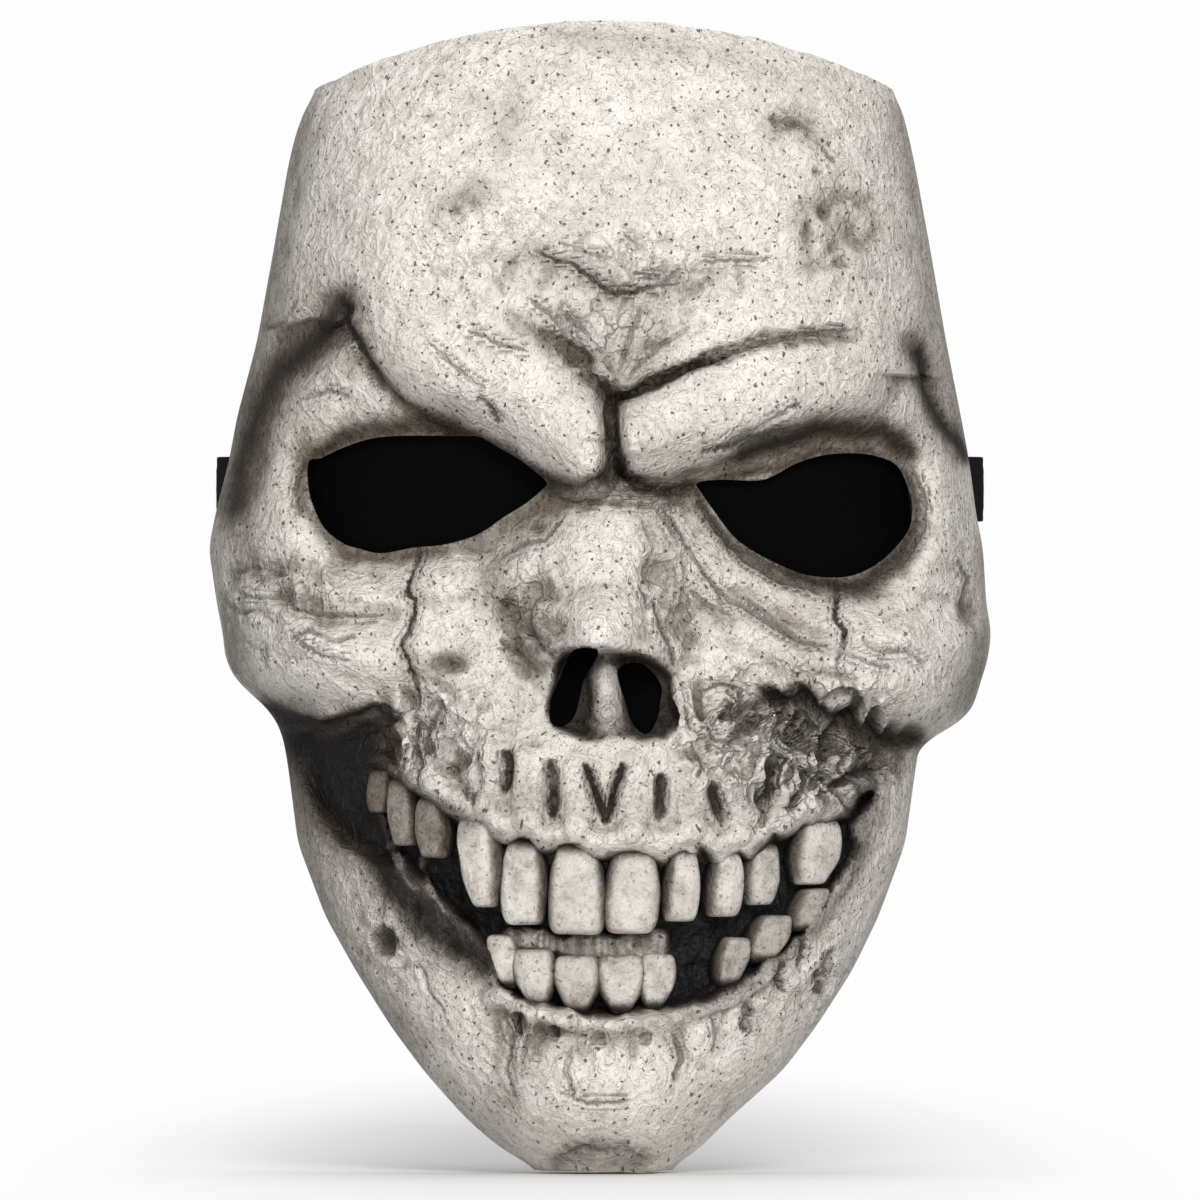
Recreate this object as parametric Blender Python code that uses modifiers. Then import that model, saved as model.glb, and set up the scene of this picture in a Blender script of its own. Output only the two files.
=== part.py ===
"""Skull mask worn over the face: one moulded shell with its teeth, black gauze and an elastic strap.

Metres, +Z up, the face looks along -Y and +X is on the viewer's right.
The origin is where the shell's inner wall sits on the bridge of the wearer's nose.

Places on the face are shares. "across" is a share of half the mask's width, from its middle line.
"up" is a share of the mask's height, from the chin.  Widths follow half the mask's width too.
Depths are shares of MASK_DEPTH, and the carved forms are shares of RELIEF.
"""
import math
from collections import namedtuple

import bmesh
import bpy
import numpy as np

# Driving dimensions
MASK_WIDTH = 0.193
MASK_HEIGHT = 0.281
MASK_DEPTH = 0.072
RELIEF = 0.020
WALL = 0.003
CHIN_FLOOR = 0.004
SEAT_SHIFT = 0.0024
CLEARANCE = 0.0004
GAUZE_THICKNESS = 0.0008
GAUZE_MARGIN = 0.0015
STRAP_WIDTH = 0.016
STRAP_THICKNESS = 0.0015
STRAP_SPAN = 0.190
STRAP_REACH = 0.180
STRAP_LAP = 0.024
TAB_LENGTH = 0.014
TAB_THICKNESS = 0.0012

# Places that several pieces follow, as shares
SEAT_UP = 0.584
STRAP_UP = 0.594
ARCH_RISE = 0.057
ARCH_START = 0.62
ROW_ROUNDING = 0.010
EDGE_FADE = 0.10

HALF_WIDTH = MASK_WIDTH / 2
CUT_REACH = MASK_DEPTH + RELIEF

# One row for each level section of the shell, from the chin to the crown's corners
Section = namedtuple("Section", "up left right front rim square")
SECTIONS = (
    Section(0.000, 0.150, 0.170, 0.16, 0.42, 2.0),
    Section(0.015, 0.239, 0.242, 0.04, 0.44, 2.0),
    Section(0.044, 0.339, 0.326, -0.07, 0.46, 2.0),
    Section(0.086, 0.448, 0.464, -0.12, 0.50, 2.1),
    Section(0.125, 0.532, 0.550, -0.12, 0.53, 2.1),
    Section(0.172, 0.619, 0.639, -0.11, 0.57, 2.1),
    Section(0.220, 0.698, 0.708, -0.11, 0.62, 2.1),
    Section(0.284, 0.769, 0.777, -0.11, 0.70, 2.1),
    Section(0.352, 0.795, 0.805, -0.10, 0.78, 2.2),
    Section(0.371, 0.805, 0.815, -0.10, 0.80, 2.2),
    Section(0.382, 0.813, 0.882, -0.09, 0.82, 2.2),
    Section(0.395, 0.833, 0.938, -0.08, 0.84, 2.2),
    Section(0.409, 0.869, 0.958, -0.07, 0.86, 2.2),
    Section(0.422, 0.920, 0.968, -0.06, 0.88, 2.2),
    Section(0.443, 0.955, 0.989, -0.05, 0.91, 2.2),
    Section(0.468, 0.963, 0.999, -0.05, 0.94, 2.2),
    Section(0.493, 0.978, 0.986, -0.04, 0.96, 2.2),
    Section(0.542, 0.999, 0.978, -0.04, 0.98, 2.2),
    Section(0.571, 0.983, 0.961, -0.04, 1.00, 2.2),
    Section(0.618, 0.948, 0.943, -0.07, 1.00, 2.2),
    Section(0.657, 0.927, 0.922, -0.10, 1.00, 2.2),
    Section(0.723, 0.876, 0.884, -0.12, 1.00, 2.3),
    Section(0.804, 0.833, 0.843, -0.09, 0.98, 2.4),
    Section(0.875, 0.797, 0.805, 0.00, 0.95, 2.4),
    Section(0.904, 0.777, 0.787, 0.06, 0.92, 2.4),
    Section(0.929, 0.749, 0.767, 0.14, 0.88, 2.4),
    Section(0.943, 0.721, 0.741, 0.24, 0.84, 2.4),
)

# Soft mounds and dents
Mound = namedtuple("Mound", "across up wide tall rise")
MOUNDS = (
    Mound(0.005, 0.472, 0.12, 0.040, 0.30),
    Mound(-0.140, 0.453, 0.085, 0.024, 0.35),
    Mound(0.127, 0.446, 0.055, 0.020, 0.25),
    Mound(-0.760, 0.455, 0.38, 0.075, 0.55),
    Mound(0.720, 0.440, 0.36, 0.070, 0.55),
    Mound(0.000, 0.320, 0.52, 0.130, 0.45),
    Mound(0.000, 0.065, 0.30, 0.060, 0.30),
    Mound(-0.410, 0.836, 0.40, 0.100, 0.12),
    Mound(0.430, 0.828, 0.40, 0.100, 0.12),
    Mound(-0.790, 0.566, 0.12, 0.060, 0.20),
    Mound(0.850, 0.575, 0.10, 0.080, 0.20),
    Mound(-0.540, 0.200, 0.055, 0.018, -0.15),
)

# Carved ridges, and grooves with a rise below nought, each along its own line
Ridge = namedtuple("Ridge", "width start_rise end_rise line")
RIDGES = (
    Ridge(0.220, 0.10, 0.65, ((0.00, 0.61), (0.00, 0.55), (0.005, 0.50), (0.005, 0.46))),
    Ridge(0.130, 0.40, 0.55, ((-0.53, 0.732), (-0.41, 0.695), (-0.24, 0.669), (-0.10, 0.643), (-0.04, 0.625))),
    Ridge(0.115, 0.55, 0.30, ((0.10, 0.636), (0.23, 0.646), (0.42, 0.671), (0.64, 0.695))),
    Ridge(0.060, -0.40, -0.30, ((0.015, 0.681), (0.028, 0.645), (0.041, 0.611))),
    Ridge(0.050, -0.25, -0.10, ((0.03, 0.671), (0.09, 0.680), (0.19, 0.694), (0.41, 0.719), (0.64, 0.726))),
    Ridge(0.060, -0.10, -0.20, ((-0.57, 0.773), (-0.28, 0.748), (-0.07, 0.709), (0.00, 0.677))),
    Ridge(0.090, -0.35, -0.25, ((-0.67, 0.738), (-0.76, 0.713), (-0.83, 0.697), (-0.88, 0.653), (-0.92, 0.60))),
    Ridge(0.060, -0.25, -0.25, ((0.80, 0.716), (0.87, 0.658), (0.92, 0.627))),
    Ridge(0.090, -0.15, -0.50, ((0.37, 0.412), (0.52, 0.403), (0.64, 0.382), (0.80, 0.360))),
    Ridge(0.050, 0.12, 0.12, ((-0.26, 0.140), (-0.10, 0.132), (0.10, 0.132), (0.25, 0.140), (0.40, 0.165))),
)

# Hollows cut into the face, each inside its outline and fading in over its edge
Hollow = namedtuple("Hollow", "depth edge outline")
MOUTH = Hollow(0.48, 0.045, (
    (-0.59, 0.344), (-0.41, 0.322), (-0.26, 0.294), (-0.10, 0.286), (0.00, 0.277), (0.20, 0.279),
    (0.36, 0.279), (0.50, 0.300), (0.64, 0.315), (0.69, 0.296), (0.64, 0.253), (0.51, 0.196),
    (0.41, 0.161), (0.30, 0.143), (0.10, 0.138), (-0.10, 0.138), (-0.26, 0.145), (-0.31, 0.183),
    (-0.41, 0.222), (-0.52, 0.266)))
NOSE_CAVITY = Hollow(0.15, 0.045, (
    (-0.09, 0.453), (0.03, 0.456), (0.12, 0.450), (0.17, 0.439), (0.20, 0.416), (0.20, 0.392),
    (0.17, 0.374), (0.12, 0.371), (-0.03, 0.376), (-0.10, 0.382), (-0.14, 0.390), (-0.14, 0.409)))
CHEEK_HOLLOW = Hollow(0.55, 0.080, (
    (-0.84, 0.405), (-0.69, 0.395), (-0.58, 0.402), (-0.48, 0.395), (-0.52, 0.344), (-0.56, 0.322),
    (-0.51, 0.270), (-0.64, 0.270), (-0.74, 0.305), (-0.80, 0.357)))
SEPTUM = Ridge(0.050, 0.45, 0.45, ((0.013, 0.453), (0.018, 0.405)))
SPINE = Mound(0.018, 0.388, 0.070, 0.026, 0.35)

# Teeth: half sizes, how far each front stands out from the face round the mouth, and its width at the gum
Tooth = namedtuple("Tooth", "across up wide tall stand neck")
UPPER_TEETH = (
    Tooth(-0.548, 0.328, 0.027, 0.018, -0.20, 0.9),
    Tooth(-0.487, 0.312, 0.036, 0.027, -0.05, 0.8),
    Tooth(-0.413, 0.303, 0.038, 0.028, 0.00, 0.8),
    Tooth(-0.290, 0.272, 0.046, 0.040, 0.15, 1.1),
    Tooth(-0.183, 0.252, 0.050, 0.036, 0.12, 0.9),
    Tooth(-0.056, 0.248, 0.065, 0.038, 0.15, 0.8),
    Tooth(0.079, 0.246, 0.065, 0.036, 0.15, 0.8),
    Tooth(0.196, 0.250, 0.041, 0.030, 0.10, 0.8),
    Tooth(0.301, 0.251, 0.038, 0.028, 0.10, 0.8),
    Tooth(0.387, 0.261, 0.046, 0.028, 0.10, 0.8),
    Tooth(0.535, 0.281, 0.064, 0.029, 0.05, 0.8),
)
LOWER_TEETH = (
    Tooth(-0.234, 0.184, 0.033, 0.023, -0.05, 0.7),
    Tooth(-0.161, 0.167, 0.045, 0.026, 0.05, 0.6),
    Tooth(-0.056, 0.165, 0.051, 0.028, 0.08, 0.6),
    Tooth(0.048, 0.165, 0.051, 0.028, 0.08, 0.6),
    Tooth(0.135, 0.168, 0.038, 0.026, 0.02, 0.7),
    Tooth(0.324, 0.181, 0.036, 0.020, 0.00, 0.8),
    Tooth(0.413, 0.202, 0.054, 0.020, 0.00, 0.8),
    Tooth(0.502, 0.223, 0.034, 0.014, -0.05, 0.8),
)
TOOTH_ROUNDING = 0.40
TOOTH_ROOT = 0.0015

# Openings cut right through the shell
Opening = namedtuple("Opening", "name outline")
EYES = (
    Opening("left_eye_opening", (
        (-0.739, 0.610), (-0.708, 0.620), (-0.589, 0.636), (-0.471, 0.639), (-0.344, 0.639),
        (-0.257, 0.629), (-0.171, 0.610), (-0.135, 0.599), (-0.143, 0.592), (-0.245, 0.568),
        (-0.334, 0.550), (-0.403, 0.544), (-0.499, 0.538), (-0.609, 0.541), (-0.698, 0.559),
        (-0.734, 0.584))),
    Opening("right_eye_opening", (
        (0.245, 0.598), (0.397, 0.600), (0.489, 0.614), (0.609, 0.624), (0.683, 0.623),
        (0.752, 0.614), (0.792, 0.584), (0.785, 0.559), (0.752, 0.543), (0.642, 0.518),
        (0.578, 0.516), (0.448, 0.528), (0.334, 0.553), (0.270, 0.581))),
)
NOSTRILS = (
    Opening("left_nostril_opening", (
        (-0.061, 0.448), (-0.020, 0.446), (-0.038, 0.431), (-0.064, 0.396), (-0.092, 0.385),
        (-0.125, 0.389), (-0.125, 0.409), (-0.097, 0.437))),
    Opening("right_nostril_opening", (
        (0.046, 0.438), (0.099, 0.442), (0.155, 0.424), (0.143, 0.392), (0.122, 0.379),
        (0.084, 0.388), (0.061, 0.410), (0.038, 0.426))),
)
SOCKET_DEPTH = 0.40
SOCKET_SPREAD = 0.085

# Lines of the shell's outer grid: each band runs from its start to the next with its own count
Band = namedtuple("Band", "start count")
OUTER_ROWS = (Band(0.000, 6), Band(0.122, 17), Band(0.375, 27), Band(0.700, 10), Band(0.943, 0))
INNER_ROWS = (Band(CHIN_FLOOR / MASK_HEIGHT, 4), Band(0.122, 8), Band(0.375, 14), Band(0.700, 5), Band(0.943, 0))
FLAT_SHARE = 0.78
OUTER_FLAT_COLUMNS = 38
OUTER_SIDE_COLUMNS = 8
INNER_FLAT_COLUMNS = 18
INNER_SIDE_COLUMNS = 4
LOOK_AROUND = 0.9
LOOK_STEPS = 9


def clear_scene():
    """Take every object out of the scene."""
    for thing in list(bpy.data.objects):
        bpy.data.objects.remove(thing, do_unlink=True)


def make_collection(name):
    """A new collection linked to the scene."""
    group = bpy.data.collections.new(name)
    bpy.context.scene.collection.children.link(group)
    return group


def make_material(name, colour, roughness, metallic=0.0):
    """A plain Principled material."""
    material = bpy.data.materials.new(name)
    material.use_nodes = True
    shader = material.node_tree.nodes["Principled BSDF"]
    shader.inputs["Base Color"].default_value = (*colour, 1.0)
    shader.inputs["Roughness"].default_value = roughness
    shader.inputs["Metallic"].default_value = metallic
    material.diffuse_color = (*colour, 1.0)
    return material


def soft_step(share):
    """Nought below 0, one above 1, and an S between them."""
    share = np.clip(share, 0.0, 1.0)
    return share * share * (3.0 - 2.0 * share)


def place(across, up):
    """Shares on the face to metres across and up from the seat."""
    return across * HALF_WIDTH, (up - SEAT_UP) * MASK_HEIGHT


def section_value(up, column):
    """One column of the sections at heights up, with its corners rounded by averaging."""
    heights = [section.up for section in SECTIONS]
    values = [getattr(section, column) for section in SECTIONS]
    shifts = np.linspace(-ROW_ROUNDING, ROW_ROUNDING, 7)
    return np.mean([np.interp(up + shift, heights, values) for shift in shifts], axis=0)


def segment_distance(across, up, start, end):
    """Distance from each point to one straight stretch, and how far along it the nearest point lies."""
    stretch = MASK_HEIGHT / HALF_WIDTH
    run = end[0] - start[0]
    rise = (end[1] - start[1]) * stretch
    from_x = across - start[0]
    from_z = (up - start[1]) * stretch
    along = np.clip((from_x * run + from_z * rise) / (run * run + rise * rise), 0.0, 1.0)
    return np.hypot(from_x - along * run, from_z - along * rise), along


def line_distance(across, up, line):
    """Distance to a broken line, and the share of its stretches passed at the nearest point."""
    best = np.full(np.shape(across), np.inf)
    passed = np.zeros(np.shape(across))
    for index in range(len(line) - 1):
        distance, along = segment_distance(across, up, line[index], line[index + 1])
        nearer = distance < best
        passed = np.where(nearer, (index + along) / (len(line) - 1), passed)
        best = np.minimum(best, distance)
    return best, passed


def outline_distance(across, up, outline):
    """Distance to a closed outline, below nought inside it."""
    closed = tuple(outline) + (outline[0],)
    distance, _ = line_distance(across, up, closed)
    inside = np.zeros(np.shape(across), dtype=bool)
    for start, end in zip(closed[:-1], closed[1:]):
        spans = (start[1] > up) != (end[1] > up)
        height = end[1] - start[1] if end[1] != start[1] else 1.0
        crossing = start[0] + (up - start[1]) / height * (end[0] - start[0])
        inside ^= spans & (across < crossing)
    return np.where(inside, -distance, distance)


def mound_height(across, up, mound):
    """A soft mound: one at its middle, nought at its rim, flat at both."""
    spread = ((across - mound.across) / mound.wide) ** 2 + ((up - mound.up) / mound.tall) ** 2
    return mound.rise * np.clip(1.0 - spread, 0.0, 1.0) ** 1.5


def ridge_height(across, up, ridge):
    """A round-topped ridge along its line, whose rise changes from its start to its end."""
    distance, passed = line_distance(across, up, ridge.line)
    rise = ridge.start_rise + (ridge.end_rise - ridge.start_rise) * passed
    return rise * np.clip(1.0 - (distance / ridge.width) ** 2, 0.0, 1.0)


def hollow_cover(across, up, hollow):
    """Nought outside a hollow, rising over its edge to one on its floor."""
    return soft_step(-outline_distance(across, up, hollow.outline) / hollow.edge)


def carving(across, up):
    """How far the carved face stands out from the plain shell, in metres."""
    height = np.zeros(np.shape(across))
    for mound in MOUNDS:
        height += mound_height(across, up, mound)
    for ridge in RIDGES:
        height += ridge_height(across, up, ridge)
    for eye in EYES:
        away = np.maximum(outline_distance(across, up, eye.outline), 0.0)
        height -= SOCKET_DEPTH * np.exp(-(away / SOCKET_SPREAD) ** 2)
    cavity = hollow_cover(across, up, NOSE_CAVITY)
    bone = ridge_height(across, up, SEPTUM) + mound_height(across, up, SPINE)
    height = height * (1.0 - cavity) + (bone - NOSE_CAVITY.depth) * cavity
    mouth = MOUTH.depth * hollow_cover(across, up, MOUTH)
    cheek = CHEEK_HOLLOW.depth * hollow_cover(across, up, CHEEK_HOLLOW)
    return (height - np.maximum(mouth, cheek)) * RELIEF


def band_lines(bands):
    """Grid lines with each band's own spacing."""
    lines = [np.linspace(band.start, after.start, band.count, endpoint=False)
             for band, after in zip(bands[:-1], bands[1:])]
    return np.concatenate(lines + [[bands[-1].start]])


def column_lines(flat_count, side_count):
    """Even columns over the face, then columns at even angles round to both rims, from -1 to 1."""
    flat = np.linspace(-FLAT_SHARE, FLAT_SHARE, flat_count + 1)
    angles = np.linspace(math.asin(FLAT_SHARE), math.pi / 2, side_count + 1)[1:]
    side = np.sin(angles)
    return np.concatenate([-side[::-1], flat, side])


def chart(row, column):
    """Across and up shares of points on level rows, whose middles rise towards the crown."""
    left = section_value(row, "left")
    right = section_value(row, "right")
    across = (right - left) / 2 + (right + left) / 2 * column
    top = SECTIONS[-1].up
    arch = ARCH_RISE * soft_step((row - ARCH_START) / (top - ARCH_START)) * (1.0 - column ** 2)
    return across, row + arch


def shell_depth(row, column, front_shift):
    """Depth of the plain shell: a superellipse from its front line back to its rims."""
    front = section_value(row, "front") * MASK_DEPTH + SEAT_SHIFT + front_shift
    rim = section_value(row, "rim") * MASK_DEPTH
    square = section_value(row, "square")
    sweep = 1.0 - (1.0 - np.abs(column) ** square) ** (1.0 / square)
    return front + (rim - front) * sweep


def face_carving(row, column):
    """The carving at points of the shell, faded out where the shell turns back to its rims."""
    across, up = chart(row, column)
    return carving(across, up) * soft_step((1.0 - np.abs(column)) / EDGE_FADE)


def outer_points():
    """The carved outer face as a grid of points."""
    rows = band_lines(OUTER_ROWS)
    columns = column_lines(OUTER_FLAT_COLUMNS, OUTER_SIDE_COLUMNS)
    row, column = np.meshgrid(rows, columns, indexing="ij")
    x, z = place(*chart(row, column))
    depth = shell_depth(row, column, -WALL) - face_carving(row, column)
    return np.stack([x, depth, z], axis=-1)


def inner_lines():
    """Rows and columns of the inner face."""
    return band_lines(INNER_ROWS), column_lines(INNER_FLAT_COLUMNS, INNER_SIDE_COLUMNS)


def inner_points():
    """The inner face: the plain shell set in by the wall, and behind the deepest carving nearby."""
    rows, columns = inner_lines()
    row, column = np.meshgrid(rows, columns, indexing="ij")
    reach_up = np.gradient(rows)[:, None] * LOOK_AROUND
    reach_across = np.gradient(columns)[None, :] * LOOK_AROUND
    steps = np.linspace(-1.0, 1.0, LOOK_STEPS)
    nearby = [face_carving(np.clip(row + step_up * reach_up, rows[0], rows[-1]),
                           np.clip(column + step_across * reach_across, -1.0, 1.0))
              for step_up in steps for step_across in steps]
    x, z = place(*chart(row, column))
    half = (section_value(row, "left") + section_value(row, "right")) / 2 * HALF_WIDTH
    depth = shell_depth(row, column, 0.0) - np.min(nearby, axis=0)
    return np.stack([x - WALL * x / half, depth, z], axis=-1)


def grid_faces(row_count, column_count):
    """Two triangles for each cell of a grid, facing -Y."""
    index = np.arange(row_count * column_count).reshape(row_count, column_count)
    low_left = index[:-1, :-1].ravel()
    low_right = index[:-1, 1:].ravel()
    high_left = index[1:, :-1].ravel()
    high_right = index[1:, 1:].ravel()
    lower = np.stack([low_left, low_right, high_right], axis=1)
    upper = np.stack([low_left, high_right, high_left], axis=1)
    return np.concatenate([lower, upper]).tolist()


def end_faces(row):
    """Faces across one end row, between its left and right halves, seen counter-clockwise from above."""
    faces = []
    last = len(row) - 1
    for near in range(last // 2):
        far = last - near
        corners = [row[near], row[near + 1], row[far - 1], row[far]]
        if row[near + 1] == row[far - 1]:
            corners.pop(2)
        faces.append(corners)
    return faces


def closed_body(name, grid):
    """A closed mesh whose front is the grid, flat across its back from rim to rim and at both ends."""
    row_count, column_count = grid.shape[:2]
    index = np.arange(row_count * column_count).reshape(row_count, column_count)
    faces = grid_faces(row_count, column_count)
    faces += end_faces(index[-1].tolist())
    faces += [corners[::-1] for corners in end_faces(index[0].tolist())]
    left = index[:, 0].tolist()
    right = index[:, -1].tolist()
    for level in range(row_count - 1):
        faces.append([left[level], left[level + 1], right[level + 1], right[level]])
    mesh = bpy.data.meshes.new(name)
    mesh.from_pydata(grid.reshape(-1, 3).tolist(), [], faces)
    mesh.validate()
    return mesh


def add_object(name, mesh, group, material=None):
    """An object for a mesh, in its collection and with its material."""
    thing = bpy.data.objects.new(name, mesh)
    group.objects.link(thing)
    if material:
        mesh.materials.append(material)
    return thing


def hide_cutter(cutter):
    """Cutters show as wires and are left out of renders."""
    cutter.hide_render = True
    cutter.display_type = "WIRE"


def subtract(thing, cutter):
    """Cut one object out of another."""
    cut = thing.modifiers.new(cutter.name, "BOOLEAN")
    cut.operation = "DIFFERENCE"
    cut.solver = "EXACT"
    cut.object = cutter


def make_hollow_cutter(group):
    """The space inside the shell, carried on past its rims and stopping above the chin's floor."""
    grid = inner_points()
    level = np.array([0.0, 0.0, RELIEF])
    back = np.array([0.0, RELIEF, 0.0])
    grid = np.concatenate([grid, grid[-1:] + level], axis=0)
    grid = np.concatenate([grid[:, :1] + back, grid, grid[:, -1:] + back], axis=1)
    cutter = add_object("face_space", closed_body("face_space", grid), group)
    hide_cutter(cutter)
    return cutter


def make_opening_cutter(opening, group):
    """A straight prism through the shell in an opening's outline."""
    curve = bpy.data.curves.new(opening.name, "CURVE")
    curve.dimensions = "2D"
    curve.fill_mode = "BOTH"
    curve.extrude = CUT_REACH
    spline = curve.splines.new("POLY")
    spline.points.add(len(opening.outline) - 1)
    for point, (across, up) in zip(spline.points, opening.outline):
        x, z = place(across, up)
        point.co = (x, z, 0.0, 1.0)
    spline.use_cyclic_u = True
    outline = bpy.data.objects.new(opening.name + "_line", curve)
    group.objects.link(outline)
    outline.rotation_euler = (math.pi / 2, 0.0, 0.0)
    bpy.context.view_layer.update()
    evaluated = outline.evaluated_get(bpy.context.evaluated_depsgraph_get())
    mesh = bpy.data.meshes.new_from_object(evaluated)
    mesh.transform(outline.matrix_world)
    bpy.data.objects.remove(outline, do_unlink=True)
    body = bmesh.new()
    body.from_mesh(mesh)
    bmesh.ops.remove_doubles(body, verts=body.verts, dist=0.00001)
    bmesh.ops.recalc_face_normals(body, faces=body.faces)
    body.to_mesh(mesh)
    body.free()
    mesh.name = opening.name
    cutter = add_object(opening.name, mesh, group)
    hide_cutter(cutter)
    return cutter


def face_depth(across, up):
    """Depth of the face round the mouth at one place, without its hollows and lines."""
    left = section_value(up, "left")
    right = section_value(up, "right")
    column = (across - (right - left) / 2) / ((right + left) / 2)
    mounds = sum(mound_height(across, up, mound) for mound in MOUNDS)
    return shell_depth(up, column, -WALL) - mounds * RELIEF


def make_tooth(name, tooth, gum_above, group):
    """A rounded block that turns with the jaw, rooted in the floor of the mouth and narrower at the gum."""
    front = face_depth(tooth.across, tooth.up) - tooth.stand * RELIEF
    before = face_depth(tooth.across - tooth.wide, tooth.up)
    after = face_depth(tooth.across + tooth.wide, tooth.up)
    turn = math.atan2(after - before, 2 * tooth.wide * HALF_WIDTH)
    length = (MOUTH.depth + tooth.stand) * RELIEF + TOOTH_ROOT
    bpy.ops.mesh.primitive_cube_add(size=1.0, location=(0.0, 0.0, 0.0))
    block = bpy.context.object
    block.name = name
    for vertex in block.data.vertices:
        at_gum = (vertex.co.z > 0.0) == gum_above
        width = 2 * tooth.wide * HALF_WIDTH * (tooth.neck if at_gum else 1.0)
        vertex.co = (vertex.co.x * width, vertex.co.y * length, vertex.co.z * 2 * tooth.tall * MASK_HEIGHT)
    rounding = block.modifiers.new("rounding", "BEVEL")
    rounding.width = TOOTH_ROUNDING * 2 * min(tooth.wide * HALF_WIDTH * min(tooth.neck, 1.0), length / 2)
    rounding.segments = 1
    x, z = place(tooth.across, tooth.up)
    block.rotation_euler = (0.0, 0.0, turn)
    block.location = (x, front + length / 2, z)
    for old_group in list(block.users_collection):
        old_group.objects.unlink(block)
    group.objects.link(block)
    hide_cutter(block)


def make_shell(parts, cutters, teeth):
    """The moulded face: bone and teeth in one wall, open behind, at the eyes and at the nostrils."""
    bone = make_material("painted_bone", (0.74, 0.70, 0.64), 0.55)
    shell = add_object("mask_shell", closed_body("mask_shell", outer_points()), parts, bone)
    subtract(shell, make_hollow_cutter(cutters))
    for opening in EYES + NOSTRILS:
        subtract(shell, make_opening_cutter(opening, cutters))
    for number, tooth in enumerate(UPPER_TEETH):
        make_tooth(f"upper_tooth_{number}", tooth, True, teeth)
    for number, tooth in enumerate(LOWER_TEETH):
        make_tooth(f"lower_tooth_{number}", tooth, False, teeth)
    join = shell.modifiers.new("teeth", "BOOLEAN")
    join.operation = "UNION"
    join.solver = "EXACT"
    join.operand_type = "COLLECTION"
    join.collection = teeth
    return shell


def make_gauze(name, openings, parts, material):
    """Black gauze glued inside the shell behind some openings, a little larger than they are."""
    rows, columns = inner_lines()
    points = inner_points()
    corners = np.array([place(*corner) for opening in openings for corner in opening.outline])
    low = corners.min(axis=0) - GAUZE_MARGIN
    high = corners.max(axis=0) + GAUZE_MARGIN
    heights = points[:, len(columns) // 2, 2]
    first_row = np.flatnonzero(heights < low[1])[-1]
    last_row = np.flatnonzero(heights > high[1])[0]
    sides = points[(first_row + last_row) // 2, :, 0]
    first_column = np.flatnonzero(sides < low[0])[-1]
    last_column = np.flatnonzero(sides > high[0])[0]
    patch = points[first_row:last_row + 1, first_column:last_column + 1]
    patch = patch + np.array([0.0, CLEARANCE, 0.0])
    mesh = bpy.data.meshes.new(name)
    faces = [corners[::-1] for corners in grid_faces(*patch.shape[:2])]
    mesh.from_pydata(patch.reshape(-1, 3).tolist(), [], faces)
    gauze = add_object(name, mesh, parts, material)
    sheet = gauze.modifiers.new("thickness", "SOLIDIFY")
    sheet.thickness = GAUZE_THICKNESS
    sheet.offset = 1.0
    return gauze


def strap_levels():
    """Heights of the strap's lower and upper edges."""
    _, middle = place(0.0, STRAP_UP)
    return middle - STRAP_WIDTH / 2, middle + STRAP_WIDTH / 2


def inner_wall_x(side, depths):
    """How near the inner wall comes to the middle plane over the strap's height, at some depths."""
    points = inner_points()[:, ::side]
    low, high = strap_levels()
    heights = points[:, -1, 2]
    first = np.flatnonzero(heights <= low)[-1]
    last = np.flatnonzero(heights >= high)[0]
    walls = points[first:last + 1, -INNER_SIDE_COLUMNS - 1:]
    return np.min([np.interp(depths, wall[:, 1], np.abs(wall[:, 0])) for wall in walls], axis=0)


def strap_side(side):
    """The strap's middle line along one inner wall, from its end to just behind the rim."""
    rim = section_value(STRAP_UP, "rim") * MASK_DEPTH
    depths = np.linspace(rim - STRAP_LAP, rim, 5)
    nearest = inner_wall_x(side, depths) - CLEARANCE - STRAP_THICKNESS / 2
    return np.stack([side * nearest, depths], axis=1)


def strap_line():
    """The strap seen from above: along one wall, out, round the back of the head and in again."""
    line = []
    for side in (-1, 1):
        wall = strap_side(side)
        start = wall[-1]
        lead = wall[-1] - wall[-2]
        lead = lead / np.linalg.norm(lead)
        turn = np.array([side * (STRAP_SPAN - STRAP_THICKNESS) / 2, start[1] + STRAP_LAP])
        reach = STRAP_LAP
        t = np.linspace(0.0, 1.0, 9)[1:, None]
        blend = ((2 * t ** 3 - 3 * t ** 2 + 1) * start + (t ** 3 - 2 * t ** 2 + t) * lead * reach
                 + (3 * t ** 2 - 2 * t ** 3) * turn + (t ** 3 - t ** 2) * np.array([0.0, reach]))
        line.append(np.concatenate([wall, blend]))
    left, right = line
    angles = np.linspace(0.0, math.pi, 31)[1:-1]
    middle_depth = (left[-1, 1] + right[-1, 1]) / 2
    back = np.stack([-np.cos(angles) * abs(left[-1, 0]),
                     middle_depth + np.sin(angles) * (STRAP_REACH - middle_depth)], axis=1)
    return np.concatenate([left, back, right[::-1]])


def make_strap(parts):
    """The elastic strap: an upright ribbon given its thickness."""
    elastic = make_material("black_elastic", (0.012, 0.012, 0.013), 0.8)
    line = strap_line()
    points = [(x, y, z) for x, y in line for z in strap_levels()]
    faces = [(2 * n, 2 * n + 1, 2 * n + 3, 2 * n + 2) for n in range(len(line) - 1)]
    mesh = bpy.data.meshes.new("strap")
    mesh.from_pydata(points, [], faces)
    strap = add_object("strap", mesh, parts, elastic)
    ribbon = strap.modifiers.new("thickness", "SOLIDIFY")
    ribbon.thickness = STRAP_THICKNESS
    ribbon.offset = 0.0
    ribbon.use_even_offset = True
    return strap


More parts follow.
